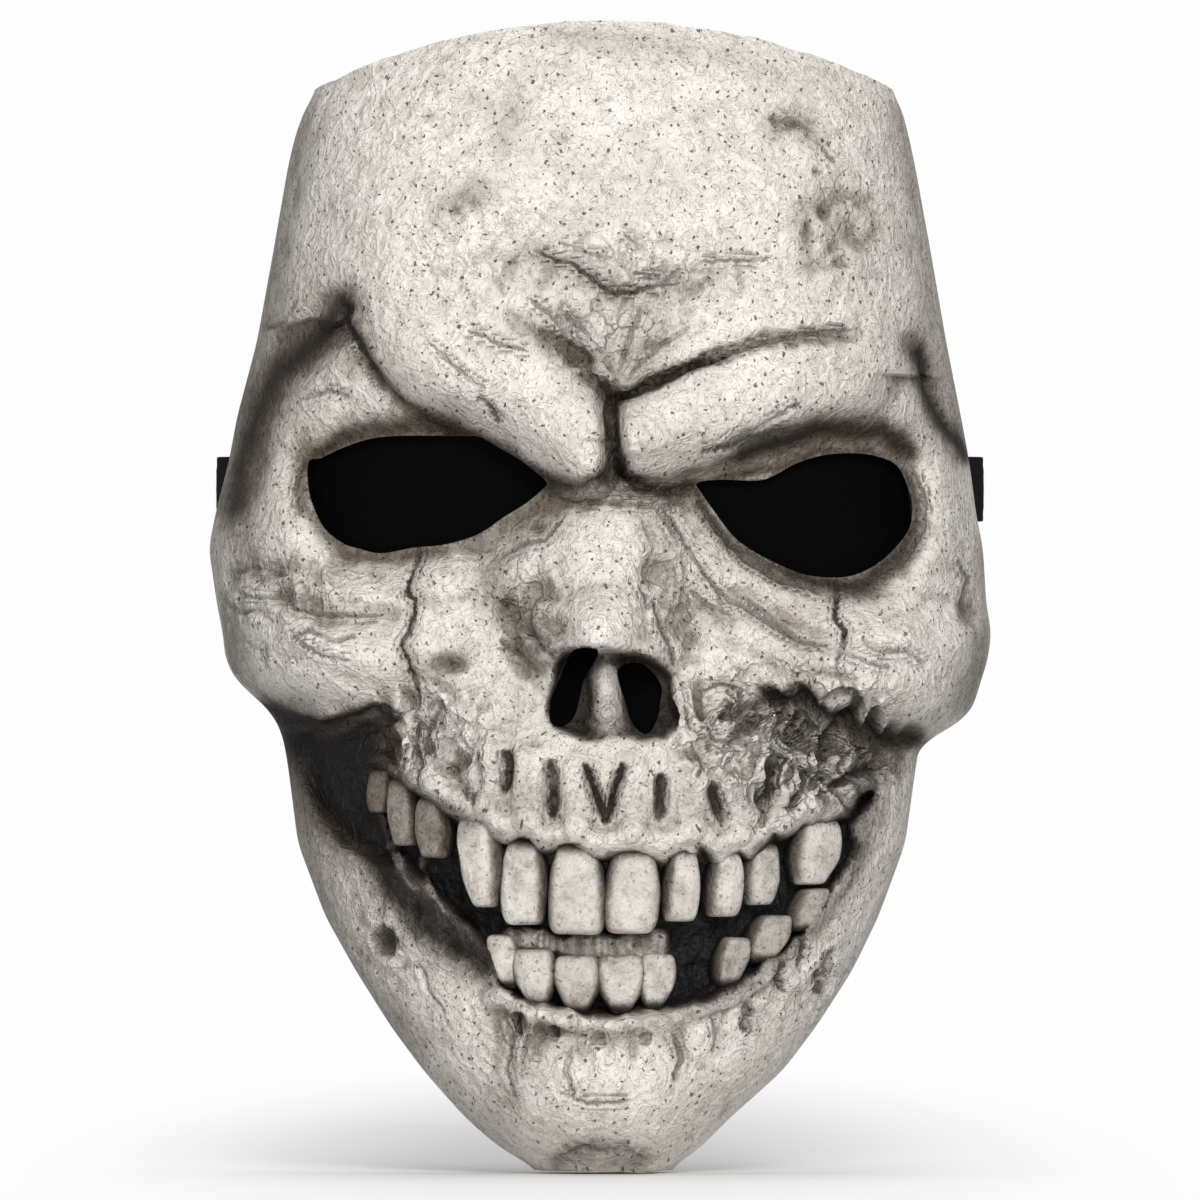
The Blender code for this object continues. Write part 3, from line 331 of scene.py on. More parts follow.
CREASES = lines(Crease, (
    (0.015, 0.080, 0.95, -647, 760, -645, 742, -622, 725, -586, 704, -545, 681, -504, 664, -433, 649,
     -331, 636),
    (0.010, 0.060, 0.65, -331, 636, -255, 623, -178, 607, -107, 595, -46, 592, 0, 601, 25, 617),
    (0.020, 0.100, 1.00, 25, 674, 28, 649, 36, 625, 56, 603),
    (0.015, 0.080, 1.00, 28, 667, 92, 679, 186, 693, 268, 703, 331, 709),
    (0.009, 0.040, 0.50, 268, 703, 413, 718, 520, 726, 637, 730),
    (0.013, 0.060, 0.80, 56, 605, 102, 595, 171, 590, 239, 596),
    (0.010, 0.050, 0.50, -153, 732, -102, 721, -46, 706, 10, 678),
    (0.015, 0.070, 0.90, -861, 406, -795, 394, -708, 387, -637, 393, -576, 402, -515, 404),
    (0.015, 0.070, 0.90, 418, 416, 520, 410, 594, 397, 665, 384, 736, 375, 805, 371),
    (0.010, 0.050, 0.60, -163, 497, -178, 477, -158, 457, -112, 441),
    (0.008, 0.040, 0.50, 132, 497, 163, 470, 194, 437),
    (0.010, 0.050, 0.60, 805, 713, 825, 686, 869, 658, 912, 636),
    (0.008, 0.040, 0.50, -754, 617, -775, 592, -759, 570),
    (0.008, 0.035, 0.50, 795, 610, 825, 584, 820, 556, 777, 531),
    (0.010, 0.050, 0.70, 255, 625, 331, 630, 408, 639, 484, 646),
    (0.009, 0.045, 0.60, 245, 584, 296, 557, 367, 531, 459, 512, 561, 503),
    (0.008, 0.040, 0.45, 140, 584, 194, 557, 239, 530, 296, 505, 377, 486, 484, 465, 596, 455),
    (0.010, 0.050, 0.60, 344, 418, 362, 404, 346, 383, 377, 368, 369, 348),
    (0.010, 0.050, 0.60, 433, 409, 454, 394, 428, 375, 459, 355, 448, 331),
    (0.010, 0.050, 0.60, 510, 405, 540, 390, 515, 373, 545, 352, 525, 331),
    (0.009, 0.050, 0.70, 586, 395, 576, 378, 606, 359, 591, 343),
    (0.009, 0.050, 0.70, 668, 382, 642, 364, 683, 347),
    (0.010, 0.050, 0.60, -408, 395, -377, 376, -387, 355, -352, 338, -331, 322),
    (0.010, 0.050, 0.60, -459, 392, -474, 373, -448, 352, -459, 333),
    (0.008, 0.040, 0.45, -255, 138, -224, 113, -239, 87, -209, 64),
    (0.008, 0.040, 0.40, -71, 108, -87, 87, -61, 68),
    (0.008, 0.040, 0.40, 183, 122, 204, 99, 183, 78),
    (0.008, 0.040, 0.40, -102, 12, -38, 21, 0, 17, 64, 21, 115, 12),
    (0.008, 0.035, 0.35, -955, 497, -917, 486, -861, 488, -828, 477),
    (0.008, 0.035, 0.35, 904, 531, 938, 514, 922, 493, 953, 470),
    (0.008, 0.035, 0.35, -790, 462, -734, 472, -673, 462, -611, 467),
    (0.008, 0.040, 0.50, 662, 462, 713, 451, 764, 453, 828, 441),
    (0.008, 0.045, 0.85, -459, 542, -464, 531, -492, 507, -466, 495, -476, 468, -499, 458, -476, 442,
     -456, 417, -459, 397),
    (0.006, 0.035, 0.60, -469, 397, -425, 378, -390, 346),
    (0.006, 0.030, 0.55, -425, 409, -385, 400, -354, 380, -313, 361),
    (0.006, 0.030, 0.50, -484, 370, -504, 348),
    (0.006, 0.030, 0.50, -545, 379, -530, 355, -499, 331),
    (0.008, 0.045, 0.85, 594, 514, 599, 497, 594, 481, 622, 470, 614, 454, 596, 442),
    (0.005, 0.020, 0.40, 596, 442, 606, 427, 617, 415),
    (0.008, 0.040, 0.45, -803, 505, -769, 488, -688, 486, -548, 482),
    (0.006, 0.025, 0.30, -948, 520, -866, 524, -790, 518),
    (0.006, 0.025, 0.30, -927, 505, -861, 498, -805, 500),
    (0.008, 0.030, 0.35, 369, 497, 446, 477, 510, 462, 611, 453),
    (0.006, 0.025, 0.35, 102, 510, 127, 488),
    (0.006, 0.025, 0.30, 140, 575, 178, 557, 194, 542),
    (0.006, 0.025, 0.30, 204, 540, 214, 518, 204, 497),
    (0.008, 0.030, 0.35, 229, 505, 275, 491, 331, 483),
    (0.006, 0.020, 0.25, 102, 566, 127, 544, 122, 523),
    (0.009, 0.060, 0.75, -163, 799, -112, 791, -69, 787, -51, 782, -5, 769, 36, 760, 82, 763, 127, 767,
     206, 770),
    (0.006, 0.035, 0.50, 76, 779, 115, 778, 155, 777),
    (0.006, 0.025, 0.25, 56, 813, 82, 807, 107, 801),
    (0.006, 0.025, 0.20, -102, 807, -25, 796, 31, 791),
    (0.006, 0.025, 0.30, 255, 789, 357, 791, 433, 794),
    (0.006, 0.020, 0.30, 520, 900, 561, 889, 594, 875),
    (0.008, 0.030, 0.45, 433, 909, 484, 915, 540, 901),
    (0.006, 0.030, 0.70, 510, 213, 515, 187, 504, 174),
    (0.011, 0.065, 0.60, -311, 672, -285, 664, -255, 649),
    (0.006, 0.025, 0.30, -331, 732, -255, 719, -178, 713),
    (0.006, 0.025, 0.25, -433, 719, -357, 695, -290, 678),
    (0.008, 0.030, 0.35, -178, 758, -112, 739, -51, 716, -10, 692),
    (0.008, 0.030, 0.35, -102, 749, -36, 728, 0, 706),
    (0.008, 0.030, 0.30, 102, 749, 71, 723, 46, 695),
    (0.008, 0.030, 0.35, 229, 732, 140, 713, 76, 692),
    (0.008, 0.035, 0.40, 334, 632, 420, 649, 507, 669),
    (0.006, 0.025, 0.30, 255, 623, 331, 636, 387, 646),
    (0.006, 0.030, 0.40, 25, 594, 102, 586, 229, 591),
    (0.006, 0.025, 0.35, -102, 586, 0, 581, 127, 577, 229, 581),
    (0.008, 0.035, 0.40, -255, 531, -204, 544, -140, 549, -102, 566),
    (0.008, 0.035, 0.45, -265, 497, -204, 486, -173, 465, -122, 460),
    (0.008, 0.030, 0.40, -255, 462, -204, 449, -163, 434),
    (0.006, 0.025, 0.30, -357, 601, -387, 566, -369, 544),
    (0.006, 0.025, 0.30, 369, 409, 408, 383, 387, 357),
    (0.009, 0.045, 0.60, 306, 409, 357, 399, 423, 395, 484, 399),
    (0.009, 0.045, 0.60, 448, 387, 484, 370, 540, 361, 601, 364),
    (0.008, 0.040, 0.60, 611, 387, 642, 368, 637, 340, 668, 322),
    (0.008, 0.040, 0.60, 713, 370, 693, 344, 713, 322),
    (0.008, 0.040, 0.50, 255, 389, 296, 375, 362, 371),
    (0.008, 0.040, 0.50, 561, 340, 606, 326, 642, 303),
    (0.008, 0.035, 0.50, 255, 418, 306, 423, 367, 418),
    (0.006, 0.035, 0.50, 229, 375, 255, 357, 239, 341),
    (0.006, 0.030, 0.50, 611, 453, 668, 443, 739, 437),
    (0.006, 0.025, 0.35, -764, 462, -713, 449, -632, 444),
    (0.006, 0.025, 0.30, -902, 462, -861, 453, -841, 434),
    (0.008, 0.030, 0.35, -204, 139, -183, 117, -199, 94),
    (0.006, 0.025, 0.30, -102, 70, -25, 61, 76, 64),
    (0.008, 0.035, 0.45, 369, 148, 377, 135, 387, 120),
    (0.008, 0.035, 0.45, 285, 134, 296, 118, 285, 105),
    (0.008, 0.035, 0.45, 459, 185, 448, 170, 469, 155),
    (0.008, 0.035, 0.45, 548, 176, 561, 166, 550, 153),
    (0.008, 0.035, 0.45, 591, 196, 581, 183, 596, 169),
    (0.006, 0.025, 0.30, -459, 183, -438, 157, -392, 139),
    (0.006, 0.020, 0.25, -510, 231, -520, 209, -499, 192),
    (0.008, 0.035, 0.30, -764, 671, -688, 678, -632, 672),
    (0.006, 0.025, 0.30, -861, 732, -800, 739, -764, 758),
))
ROOT_SLOTS = lines(Crease, (
    (0.020, 0.120, 0.90, -237, 368, -229, 355, -234, 341, -242, 329),
    (0.020, 0.130, 0.95, -132, 359, -122, 344, -120, 327, -122, 308),
    (0.015, 0.110, 0.95, -36, 355, -20, 338, 0, 321, 15, 303),
    (0.015, 0.110, 0.95, 61, 355, 43, 338, 28, 321, 15, 303),
    (0.023, 0.130, 0.85, 155, 345, 153, 329, 148, 305),
    (0.020, 0.120, 0.90, 285, 341, 290, 326, 311, 303),
    (0.018, 0.120, 0.95, 425, 371, 428, 352, 418, 326, 408, 301),
    (0.020, 0.100, 0.75, 525, 350, 502, 336, 479, 322, 469, 309),
    (0.025, 0.120, 0.90, 703, 355, 652, 347, 606, 338, 576, 331),
    (0.015, 0.080, 0.80, 296, 394, 326, 397, 362, 395),
    (0.015, 0.070, 0.60, -306, 364, -301, 348, -296, 331),
    (0.013, 0.060, 0.60, -321, 327, -318, 317),
    (0.020, 0.080, 0.85, -219, 138, -211, 129, -204, 118),
    (0.018, 0.070, 0.85, -127, 124, -117, 121, -107, 122),
    (0.018, 0.070, 0.85, -23, 118, -8, 116, 8, 118),
    (0.015, 0.060, 0.75, 102, 120, 117, 118, 132, 121),
    (0.018, 0.080, 0.90, 372, 148, 380, 135, 367, 122),
    (0.015, 0.065, 0.75, 459, 185, 451, 170, 464, 157),
    (0.018, 0.065, 0.70, 550, 174, 561, 164, 550, 153),
    (0.015, 0.060, 0.60, 581, 192, 576, 179, 591, 169),
    (0.013, 0.050, 0.70, 504, 213, 515, 192, 504, 176),
))
PITS = (
    Pit(-0.387, 0.441, 0.056, 0.011, 0.075, 0.55),
    Pit(0.932, 0.491, 0.028, 0.021, 0.045, 0.35),
    Pit(-0.543, 0.200, 0.033, 0.015, 0.100, 0.80),
    Pit(-0.369, 0.193, 0.025, 0.010, 0.070, 0.70),
    Pit(-0.469, 0.227, 0.020, 0.008, 0.045, 0.40),
    Pit(-0.211, 0.125, 0.025, 0.011, 0.050, 0.30),
    Pit(0.614, 0.816, 0.046, 0.019, 0.035, 0.25),
    Pit(0.566, 0.833, 0.023, 0.008, 0.035, 0.35),
    Pit(0.657, 0.805, 0.023, 0.010, 0.035, 0.35),
    Pit(0.606, 0.791, 0.020, 0.007, 0.030, 0.30),
    Pit(0.545, 0.868, 0.013, 0.004, 0.030, 0.60),
    Pit(0.525, 0.817, 0.015, 0.014, 0.035, 0.50),
    Pit(-0.650, 0.566, 0.020, 0.007, 0.020, 0.00),
    Pit(0.255, 0.176, 0.046, 0.017, 0.125, 1.00),
    Pit(-0.153, 0.559, 0.036, 0.008, 0.030, 0.35),
    Pit(-0.163, 0.453, 0.023, 0.006, 0.035, 0.40),
    Pit(-0.122, 0.449, 0.015, 0.004, 0.030, 0.50),
    Pit(-0.632, 0.747, 0.018, 0.010, 0.060, 0.80),
    Pit(0.102, 0.801, 0.031, 0.006, 0.025, 0.15),
    Pit(-0.316, 0.840, 0.025, 0.006, 0.025, 0.40),
    Pit(-0.369, 0.834, 0.020, 0.005, 0.025, 0.40),
    Pit(0.484, 0.909, 0.023, 0.006, 0.030, 0.50),
    Pit(0.438, 0.915, 0.015, 0.005, 0.025, 0.40),
    Pit(-0.764, 0.235, 0.023, 0.010, 0.025, 0.10),
    Pit(-0.632, 0.497, 0.031, 0.005, 0.025, 0.20),
    Pit(0.229, 0.462, 0.020, 0.007, 0.025, 0.20),
    Pit(-0.102, 0.897, 0.036, 0.007, 0.020, 0.05),
    Pit(0.255, 0.915, 0.041, 0.008, 0.020, 0.05),
    Pit(0.051, 0.862, 0.041, 0.009, 0.020, 0.05),
    Pit(-0.433, 0.915, 0.036, 0.008, 0.020, 0.05),
    Pit(-0.242, 0.174, 0.018, 0.007, 0.030, 0.30),
    Pit(0.408, 0.231, 0.018, 0.007, 0.030, 0.40),
)
ROOTS = tuple(Ridge(0.042, 0.10, 0.12, line(across, top, across, foot)) for across, top, foot in (
    (-413, 370, 343), (-290, 361, 324), (-183, 357, 307), (-56, 353, 301), (79, 353, 300),
    (229, 348, 300), (357, 353, 298), (454, 357, 308), (540, 361, 324)))
LEFT_EYE = line(-739, 617, -708, 620, -657, 628, -589, 636, -517, 639, -397, 639, -344, 639, -303, 638,
    -257, 629, -211, 620, -171, 610, -135, 599, -143, 593, -189, 580, -245, 568, -290, 557, -334, 550,
    -403, 544, -471, 542, -553, 537, -609, 541, -652, 546, -698, 559, -726, 578, -739, 595)
RIGHT_EYE = line(245, 598, 306, 601, 397, 600, 443, 605, 489, 614, 548, 621, 609, 624, 683, 623, 752, 614,
    785, 591, 792, 575, 785, 559, 752, 543, 703, 528, 642, 518, 578, 516, 512, 519, 448, 528, 382, 540,
    334, 553, 288, 574, 257, 589)
LEFT_NOSTRIL = line(-66, 453, -25, 455, -5, 451, -25, 437, -41, 427, -51, 412, -64, 396, -92, 387,
    -120, 389, -127, 399, -122, 411, -104, 426, -87, 441)
RIGHT_NOSTRIL = line(46, 436, 76, 442, 107, 441, 132, 434, 155, 422, 153, 409, 143, 392, 122, 381,
    97, 383, 76, 394, 64, 409, 51, 422)
GUM_LINE = line(-578, 349, -522, 342, -479, 333, -446, 328, -408, 319, -369, 311, -331, 307, -296, 305,
    -270, 294, -237, 290, -191, 292, -143, 284, -112, 285, -69, 289, -31, 280, 13, 277, 74, 281, 122, 277,
    163, 274, 201, 279, 229, 280, 255, 284, 298, 273, 321, 275, 357, 280, 382, 276, 413, 282, 433, 294,
    471, 294, 510, 305, 566, 308, 601, 307)
MOUTH_LINE = GUM_LINE + line(624, 312, 657, 328, 693, 331, 703, 321, 668, 309, 642, 294, 652, 279,
    619, 256, 566, 231, 525, 209, 466, 186, 400, 171, 339, 155, 265, 145, 173, 139, 102, 136, 0, 135,
    -120, 139, -181, 145, -234, 153, -262, 162, -270, 179, -280, 192, -336, 212, -395, 231, -451, 249,
    -522, 274, -540, 296, -566, 322)
CAVITY_LINE = line(-102, 449, -64, 454, -18, 455, 31, 454, 76, 451, 115, 449, 148, 444, 173, 437,
    194, 425, 201, 409, 199, 394, 183, 380, 158, 373, 115, 372, 64, 374, 0, 371, -51, 375, -94, 380,
    -130, 387, -140, 402, -130, 420, -117, 436)
HOLLOW_LINE = line(-841, 401, -764, 390, -688, 392, -576, 402, -497, 402, -479, 390, -504, 357, -530, 331,
    -530, 312, -497, 279, -510, 263, -571, 265, -662, 279, -734, 312, -790, 353)
LEDGE_LINE = line(-255, 209, -204, 213, -115, 208, -3, 208, 102, 210, 168, 211, 178, 197, 168, 186,
    102, 182, -3, 182, -115, 187, -191, 191, -242, 199)
# Raised rims: paint rubbed off their crests, with a painted highlight along them
RIMS = (
    Rim(0.008, 0.50, line(-527, 286, -504, 265, -464, 249)),
    Rim(0.008, 0.45, line(-443, 272, -438, 249, -395, 228)),
    Rim(0.013, 0.50, line(-250, 200, -191, 189, -3, 182, 163, 186)),
    Rim(0.020, 0.50, line(-331, 300, -255, 286, -143, 279, 0, 272, 163, 268)),
    Rim(0.015, 0.40, line(229, 277, 298, 268, 387, 272)),
    Rim(0.013, 0.50, line(255, 139, 339, 148, 400, 164, 461, 181)),
    Rim(0.015, 0.40, line(-255, 157, -181, 139, -102, 132, 0, 129, 102, 130, 204, 136)),
)
ROT_ZONES = (
    Mound(0.480, 0.375, 0.38, 0.090, 1.50),
    Mound(0.300, 0.400, 0.24, 0.045, 0.90),
    Mound(-0.420, 0.380, 0.26, 0.070, 0.80),
    Mound(0.020, 0.725, 0.22, 0.060, 0.80),
    Mound(0.100, 0.780, 0.34, 0.045, 0.60),
    Mound(-0.200, 0.495, 0.16, 0.060, 0.70),
    Mound(0.200, 0.500, 0.20, 0.070, 0.50),
    Mound(0.620, 0.820, 0.16, 0.070, 0.55),
    Mound(-0.780, 0.500, 0.24, 0.060, 0.50),
    Mound(0.460, 0.170, 0.34, 0.070, 0.35),
    Mound(-0.480, 0.210, 0.22, 0.080, 0.50),
    Mound(-0.120, 0.130, 0.36, 0.050, 0.45),
    Mound(-0.300, 0.800, 0.30, 0.080, 0.35),
    Mound(0.050, 0.590, 0.20, 0.025, 0.60),
)

# Lines of the shell's grids: each band runs from its start to the next with its own count
Band = namedtuple("Band", "start count")
OUTER_ROWS = (Band(0.000, 34), Band(0.120, 112), Band(0.360, 118), Band(0.700, 66), Band(0.943, 0))
OUTER_COLUMNS = (214, 28)
INNER_ROWS = (Band(CHIN_FLOOR / MASK_HEIGHT, 10), Band(0.122, 18), Band(0.375, 30), Band(0.700, 12),
              Band(0.943, 0))
INNER_COLUMNS = (48, 9)
LOOK_UP = 0.016
LOOK_ACROSS = 0.075
LOOK_STEPS = 7
CREASE_REACH = 0.022

LATTICE_SIDE = 32
LATTICE = np.random.default_rng(11).uniform(-1.0, 1.0, (LATTICE_SIDE,) * 3)


def soft_step(share):
    """Nought below 0, one above 1, and an S between them."""
    share = np.clip(share, 0.0, 1.0)
    return share * share * (3.0 - 2.0 * share)


def soft_noise(points, cell, seed):
    """Random values from -1 to 1 on a cubic lattice, blended between its corners with S-curves."""
    scaled = points / cell + seed * 5.37
    base = np.floor(scaled).astype(int)
    share = soft_step(scaled - base)
    value = np.zeros(points.shape[:-1])
    for corner in product((0, 1), repeat=3):
        weight = np.prod(np.where(corner, share, 1.0 - share), axis=-1)
        index = (base + corner) % LATTICE_SIDE
        value += weight * LATTICE[index[..., 0], index[..., 1], index[..., 2]]
    return value


def layered_noise(points, cell, layers, seed):
    """Soft noise summed over layers, each half the cell and half the height of the one before."""
    return sum(soft_noise(points, cell / 2 ** n, seed + n) / 2 ** n for n in range(layers))


def crease_noise(points, cell, layers, seed):
    """One minus the size of soft noise, layered: sharp crests between soft hollows, from 0 to 1."""
    total = sum((1.0 - np.abs(soft_noise(points, cell / 2 ** n, seed + n))) ** 3 / 2 ** n
                for n in range(layers))
    return total / sum(1.0 / 2 ** n for n in range(layers))


def place(across, up):
    """Shares on the face to metres across and up from the seat."""
    return across * HALF_WIDTH, (up - SEAT_UP) * MASK_HEIGHT


def section_value(up, column):
    """One column of the sections at heights up, with its corners rounded by averaging."""
    heights = [section.up for section in SECTIONS]
    values = [getattr(section, column) for section in SECTIONS]
    shifts = np.linspace(-ROW_ROUNDING, ROW_ROUNDING, 7)
    return np.mean([np.interp(up + shift, heights, values) for shift in shifts], axis=0)


def line_offset(across, up, line, reach):
    """Distance to a broken line, below nought on its right hand, and the share of it passed when nearest.

    Further away than the reach, the distance is the reach.
    """
    points = np.asarray(line)
    low = points.min(axis=0) - np.array([reach, reach / STRETCH])
    high = points.max(axis=0) + np.array([reach, reach / STRETCH])
    near = (across > low[0]) & (across < high[0]) & (up > low[1]) & (up < high[1])
    distance = np.full(across.shape, float(reach))
    passed = np.zeros(across.shape)
    best = np.full(np.count_nonzero(near), float(reach))
    share = np.zeros(best.shape)
    side = np.ones(best.shape)
    for index, (start, end) in enumerate(zip(points[:-1], points[1:])):
        run = end[0] - start[0]
        rise = (end[1] - start[1]) * STRETCH
        from_x = across[near] - start[0]
        from_z = (up[near] - start[1]) * STRETCH
        along = np.clip((from_x * run + from_z * rise) / max(run * run + rise * rise, 1e-12), 0.0, 1.0)
        away = np.hypot(from_x - along * run, from_z - along * rise)
        share = np.where(away < best, (index + along) / (len(points) - 1), share)
        side = np.where(away < best, np.where(run * from_z < rise * from_x, -1.0, 1.0), side)
        best = np.minimum(best, away)
    distance[near] = best * side
    passed[near] = share
    return distance, passed


def line_distance(across, up, line, reach):
    """Distance to a broken line and the share of it passed there, or the reach further away."""
    offset, passed = line_offset(across, up, line, reach)
    return np.abs(offset), passed


def outline_distance(across, up, outline, reach):
    """Distance to a closed outline, below nought inside it, no further than the reach."""
    closed = np.concatenate([outline, outline[:1]])
    distance, _ = line_distance(across, up, closed, reach)
    low = closed.min(axis=0)
    high = closed.max(axis=0)
    near = (across > low[0]) & (across < high[0]) & (up > low[1]) & (up < high[1])
    inside = np.zeros(np.count_nonzero(near), dtype=bool)
    for start, end in zip(closed[:-1], closed[1:]):
        spans = (start[1] > up[near]) != (end[1] > up[near])
        height = end[1] - start[1] if end[1] != start[1] else 1.0
        inside ^= spans & (across[near] < start[0] + (up[near] - start[1]) / height * (end[0] - start[0]))
    signed = distance.copy()
    signed[near] = np.where(inside, -distance[near], distance[near])
    return signed


def smooth_outline(corners, steps=4):
    """A closed curve through the corners: cubic pieces whose slope at a corner joins its two neighbours."""
    points = np.asarray(corners)
    before = np.roll(points, 1, axis=0)
    after = np.roll(points, -1, axis=0)
    following = np.roll(points, -2, axis=0)
    t = np.linspace(0.0, 1.0, steps, endpoint=False)[None, :, None]
    start = points[:, None]
    lead = (after - before)[:, None] / 2
    end = after[:, None]
    arrive = (following - points)[:, None] / 2
    curve = ((2 * t ** 3 - 3 * t ** 2 + 1) * start + (t ** 3 - 2 * t ** 2 + t) * lead
             + (3 * t ** 2 - 2 * t ** 3) * end + (t ** 3 - t ** 2) * arrive)
    return curve.reshape(-1, 2)


EYE_OUTLINES = (smooth_outline(LEFT_EYE), smooth_outline(RIGHT_EYE))
NOSTRIL_OUTLINES = (smooth_outline(LEFT_NOSTRIL), smooth_outline(RIGHT_NOSTRIL))
MOUTH_OUTLINE = smooth_outline(MOUTH_LINE, 3)
CAVITY_OUTLINE = smooth_outline(CAVITY_LINE, 3)
HOLLOW_OUTLINE = smooth_outline(HOLLOW_LINE, 3)
LEDGE_OUTLINE = smooth_outline(LEDGE_LINE, 3)
GUM_EDGE = tuple((across, up + 0.010) for across, up in GUM_LINE)
GUM_LIP = Ridge(0.030, 0.16, 0.16, GUM_EDGE)


def mound_height(across, up, mound):
    """A soft mound: one at its middle, nought at its rim, flat at both."""
    spread = ((across - mound.across) / mound.wide) ** 2 + ((up - mound.up) / mound.tall) ** 2
    return mound.rise * np.clip(1.0 - spread, 0.0, 1.0) ** 1.5


def ridge_height(across, up, ridge):
    """A round-topped ridge along its line, whose rise changes from its start to its end.

    With a reach over its line, its upper side falls away as a bell curve and its lower side stays steep.
    """
    if ridge.over is None:
        distance, passed = line_distance(across, up, ridge.line, ridge.width)
        profile = np.clip(1.0 - (distance / ridge.width) ** 2, 0.0, 1.0)
    else:
        distance, passed = line_distance(across, up, ridge.line, 2.2 * max(ridge.over))
        line = np.asarray(ridge.line)
        above = up > np.interp(across, line[:, 0], line[:, 1])
        over = ridge.over[0] + (ridge.over[1] - ridge.over[0]) * passed
        steep = np.clip(1.0 - (distance / ridge.width) ** 2, 0.0, 1.0) ** 0.8
        profile = np.where(above, np.exp(-(distance / over) ** 2), steep)
    rise = ridge.start_rise + (ridge.end_rise - ridge.start_rise) * passed
    return rise * profile


def hollow_cover(across, up, outline, edge):
    """Nought outside a hollow, rising over its edge to one on its floor."""
    return soft_step(-outline_distance(across, up, outline, edge) / edge)


def carving(across, up):
    """How far the carved face stands out from the plain shell, in metres: mounds, ridges and hollows."""
    height = np.zeros(across.shape)
    for mound in MOUNDS:
        height += mound_height(across, up, mound)
    for ridge in RIDGES:
        height += ridge_height(across, up, ridge)
    for outline in EYE_OUTLINES:
        away = np.maximum(outline_distance(across, up, outline, 4 * SOCKET_SPREAD), 0.0)
        height -= SOCKET_DEPTH * np.exp(-(away / SOCKET_SPREAD) ** 2)
    cavity = hollow_cover(across, up, CAVITY_OUTLINE, CAVITY_EDGE)
    bone = ridge_height(across, up, SEPTUM) + mound_height(across, up, SPINE)
    height = height * (1.0 - cavity) + (bone - CAVITY_DEPTH) * cavity
    mouth = MOUTH_DEPTH * hollow_cover(across, up, MOUTH_OUTLINE, MOUTH_EDGE)
    cheek = HOLLOW_DEPTH * hollow_cover(across, up, HOLLOW_OUTLINE, HOLLOW_EDGE)
    ledge = LEDGE_RISE * hollow_cover(across, up, LEDGE_OUTLINE, 0.02)
    lip = ridge_height(across, up, GUM_LIP) * (mouth < 0.01)
    return (height + lip + ledge - np.maximum(mouth, cheek)) * RELIEF


def crease_depth(across, up, crease):
    """A V-shaped groove that thins towards both ends, with a low lip along each side."""
    distance, passed = line_distance(across, up, crease.line, 3 * crease.width)
    taper = np.sqrt(np.clip(np.minimum(passed, 1.0 - passed) * 5.0, 0.15, 1.0))
    share = distance / (crease.width * taper)
    groove = np.clip(1.0 - share, 0.0, 1.0)
    lip = np.exp(-((share - 1.7) / 0.6) ** 2) * 0.22
    return (lip - groove) * crease.depth * taper


def crease_map(across, up):
    """For the nearest crease: the offset from it and its half width in millimetres, and how black it is.

    The black fades out at both ends of a crease and CREASE_REACH away from it.
    """
    offset = np.full(across.shape, CREASE_REACH)
    width = np.ones(across.shape)
    soot = np.zeros(across.shape)
    for crease in CREASES + ROOT_SLOTS:
        gap, passed = line_offset(across, up, crease.line, CREASE_REACH)
        nearer = np.abs(gap) < np.abs(offset)
        taper = np.sqrt(np.clip(np.minimum(passed, 1.0 - passed) * 6.0, 0.0, 1.0))
        offset = np.where(nearer, gap, offset)
        width = np.where(nearer, crease.width * (0.35 + 0.65 * taper), width)
        soot = np.where(nearer, (0.35 + 0.65 * crease.soot) * np.minimum(2.0 * taper, 1.0), soot)
    soot *= soft_step((CREASE_REACH - np.abs(offset)) / (0.35 * CREASE_REACH))
    scale = MILLIMETRES * HALF_WIDTH
    return np.stack([offset * scale, width * scale, soot], axis=-1)


def pit_share(across, up, pit):
    """Distance from a pit's middle as a share of its half sizes."""
    return np.hypot((across - pit.across) / pit.wide, (up - pit.up) / pit.tall)


def scattered_pits():
    """Small dimples strewn over the bone, most of them longer than wide, with given counts and sizes."""
    random = np.random.default_rng(23)
    count = 420
    across = random.uniform(-0.95, 0.95, count)
    up = random.uniform(0.02, 0.97, count)
    size = random.uniform(0.006, 0.012, count)
    depth = random.uniform(0.008, 0.024, count)
    longer = random.uniform(0.8, 2.0, count)
    return across, up, size * longer, size / STRETCH, depth


def rot_crests(points):
    """Crests and hollows of rotten bone, from 0 in the hollows to 1 on the crests, bent by soft noise."""
    bend = np.stack([soft_noise(points, 0.011, seed) for seed in (201, 204, 207)], axis=-1)
    turned = points + 0.0060 * bend
    x, y, z = np.moveaxis(turned, -1, 0)
    turned = np.stack([x + 0.6 * z, y, z - 0.6 * x], axis=-1)
    return crease_noise(turned * np.array([1.1, 1.0, 0.8]), 0.0080, 2, 9)


def bone_detail(points, across, up):
    """Fine relief in shares of RELIEF: grain, rot round the jaw, creases, slots, roots and pits."""
    rough = np.zeros(across.shape)
    for zone in ROT_ZONES:
        rough = np.maximum(rough, mound_height(across, up, zone))
    grain = layered_noise(points, 0.015, 4, 1) * 0.020 + layered_noise(points, 0.0042, 2, 40) * 0.016
    height = grain + rough * (rot_crests(points) - 0.42) * 0.28
    for ridge in ROOTS:
        height += ridge_height(across, up, ridge)
    for crease in CREASES + ROOT_SLOTS:
        height += crease_depth(across, up, crease)
    for rim in RIMS:
        distance, passed = line_distance(across, up, rim.line, rim.width)
        height += 0.05 * np.clip(1.0 - (distance / rim.width) ** 2, 0.0, 1.0)
    for pit in PITS:
        share = pit_share(across, up, pit)
        height -= pit.depth * np.clip(1.0 - share ** 2, 0.0, 1.0)
        height += 0.25 * pit.depth * np.exp(-((share - 1.25) / 0.22) ** 2)
    return height


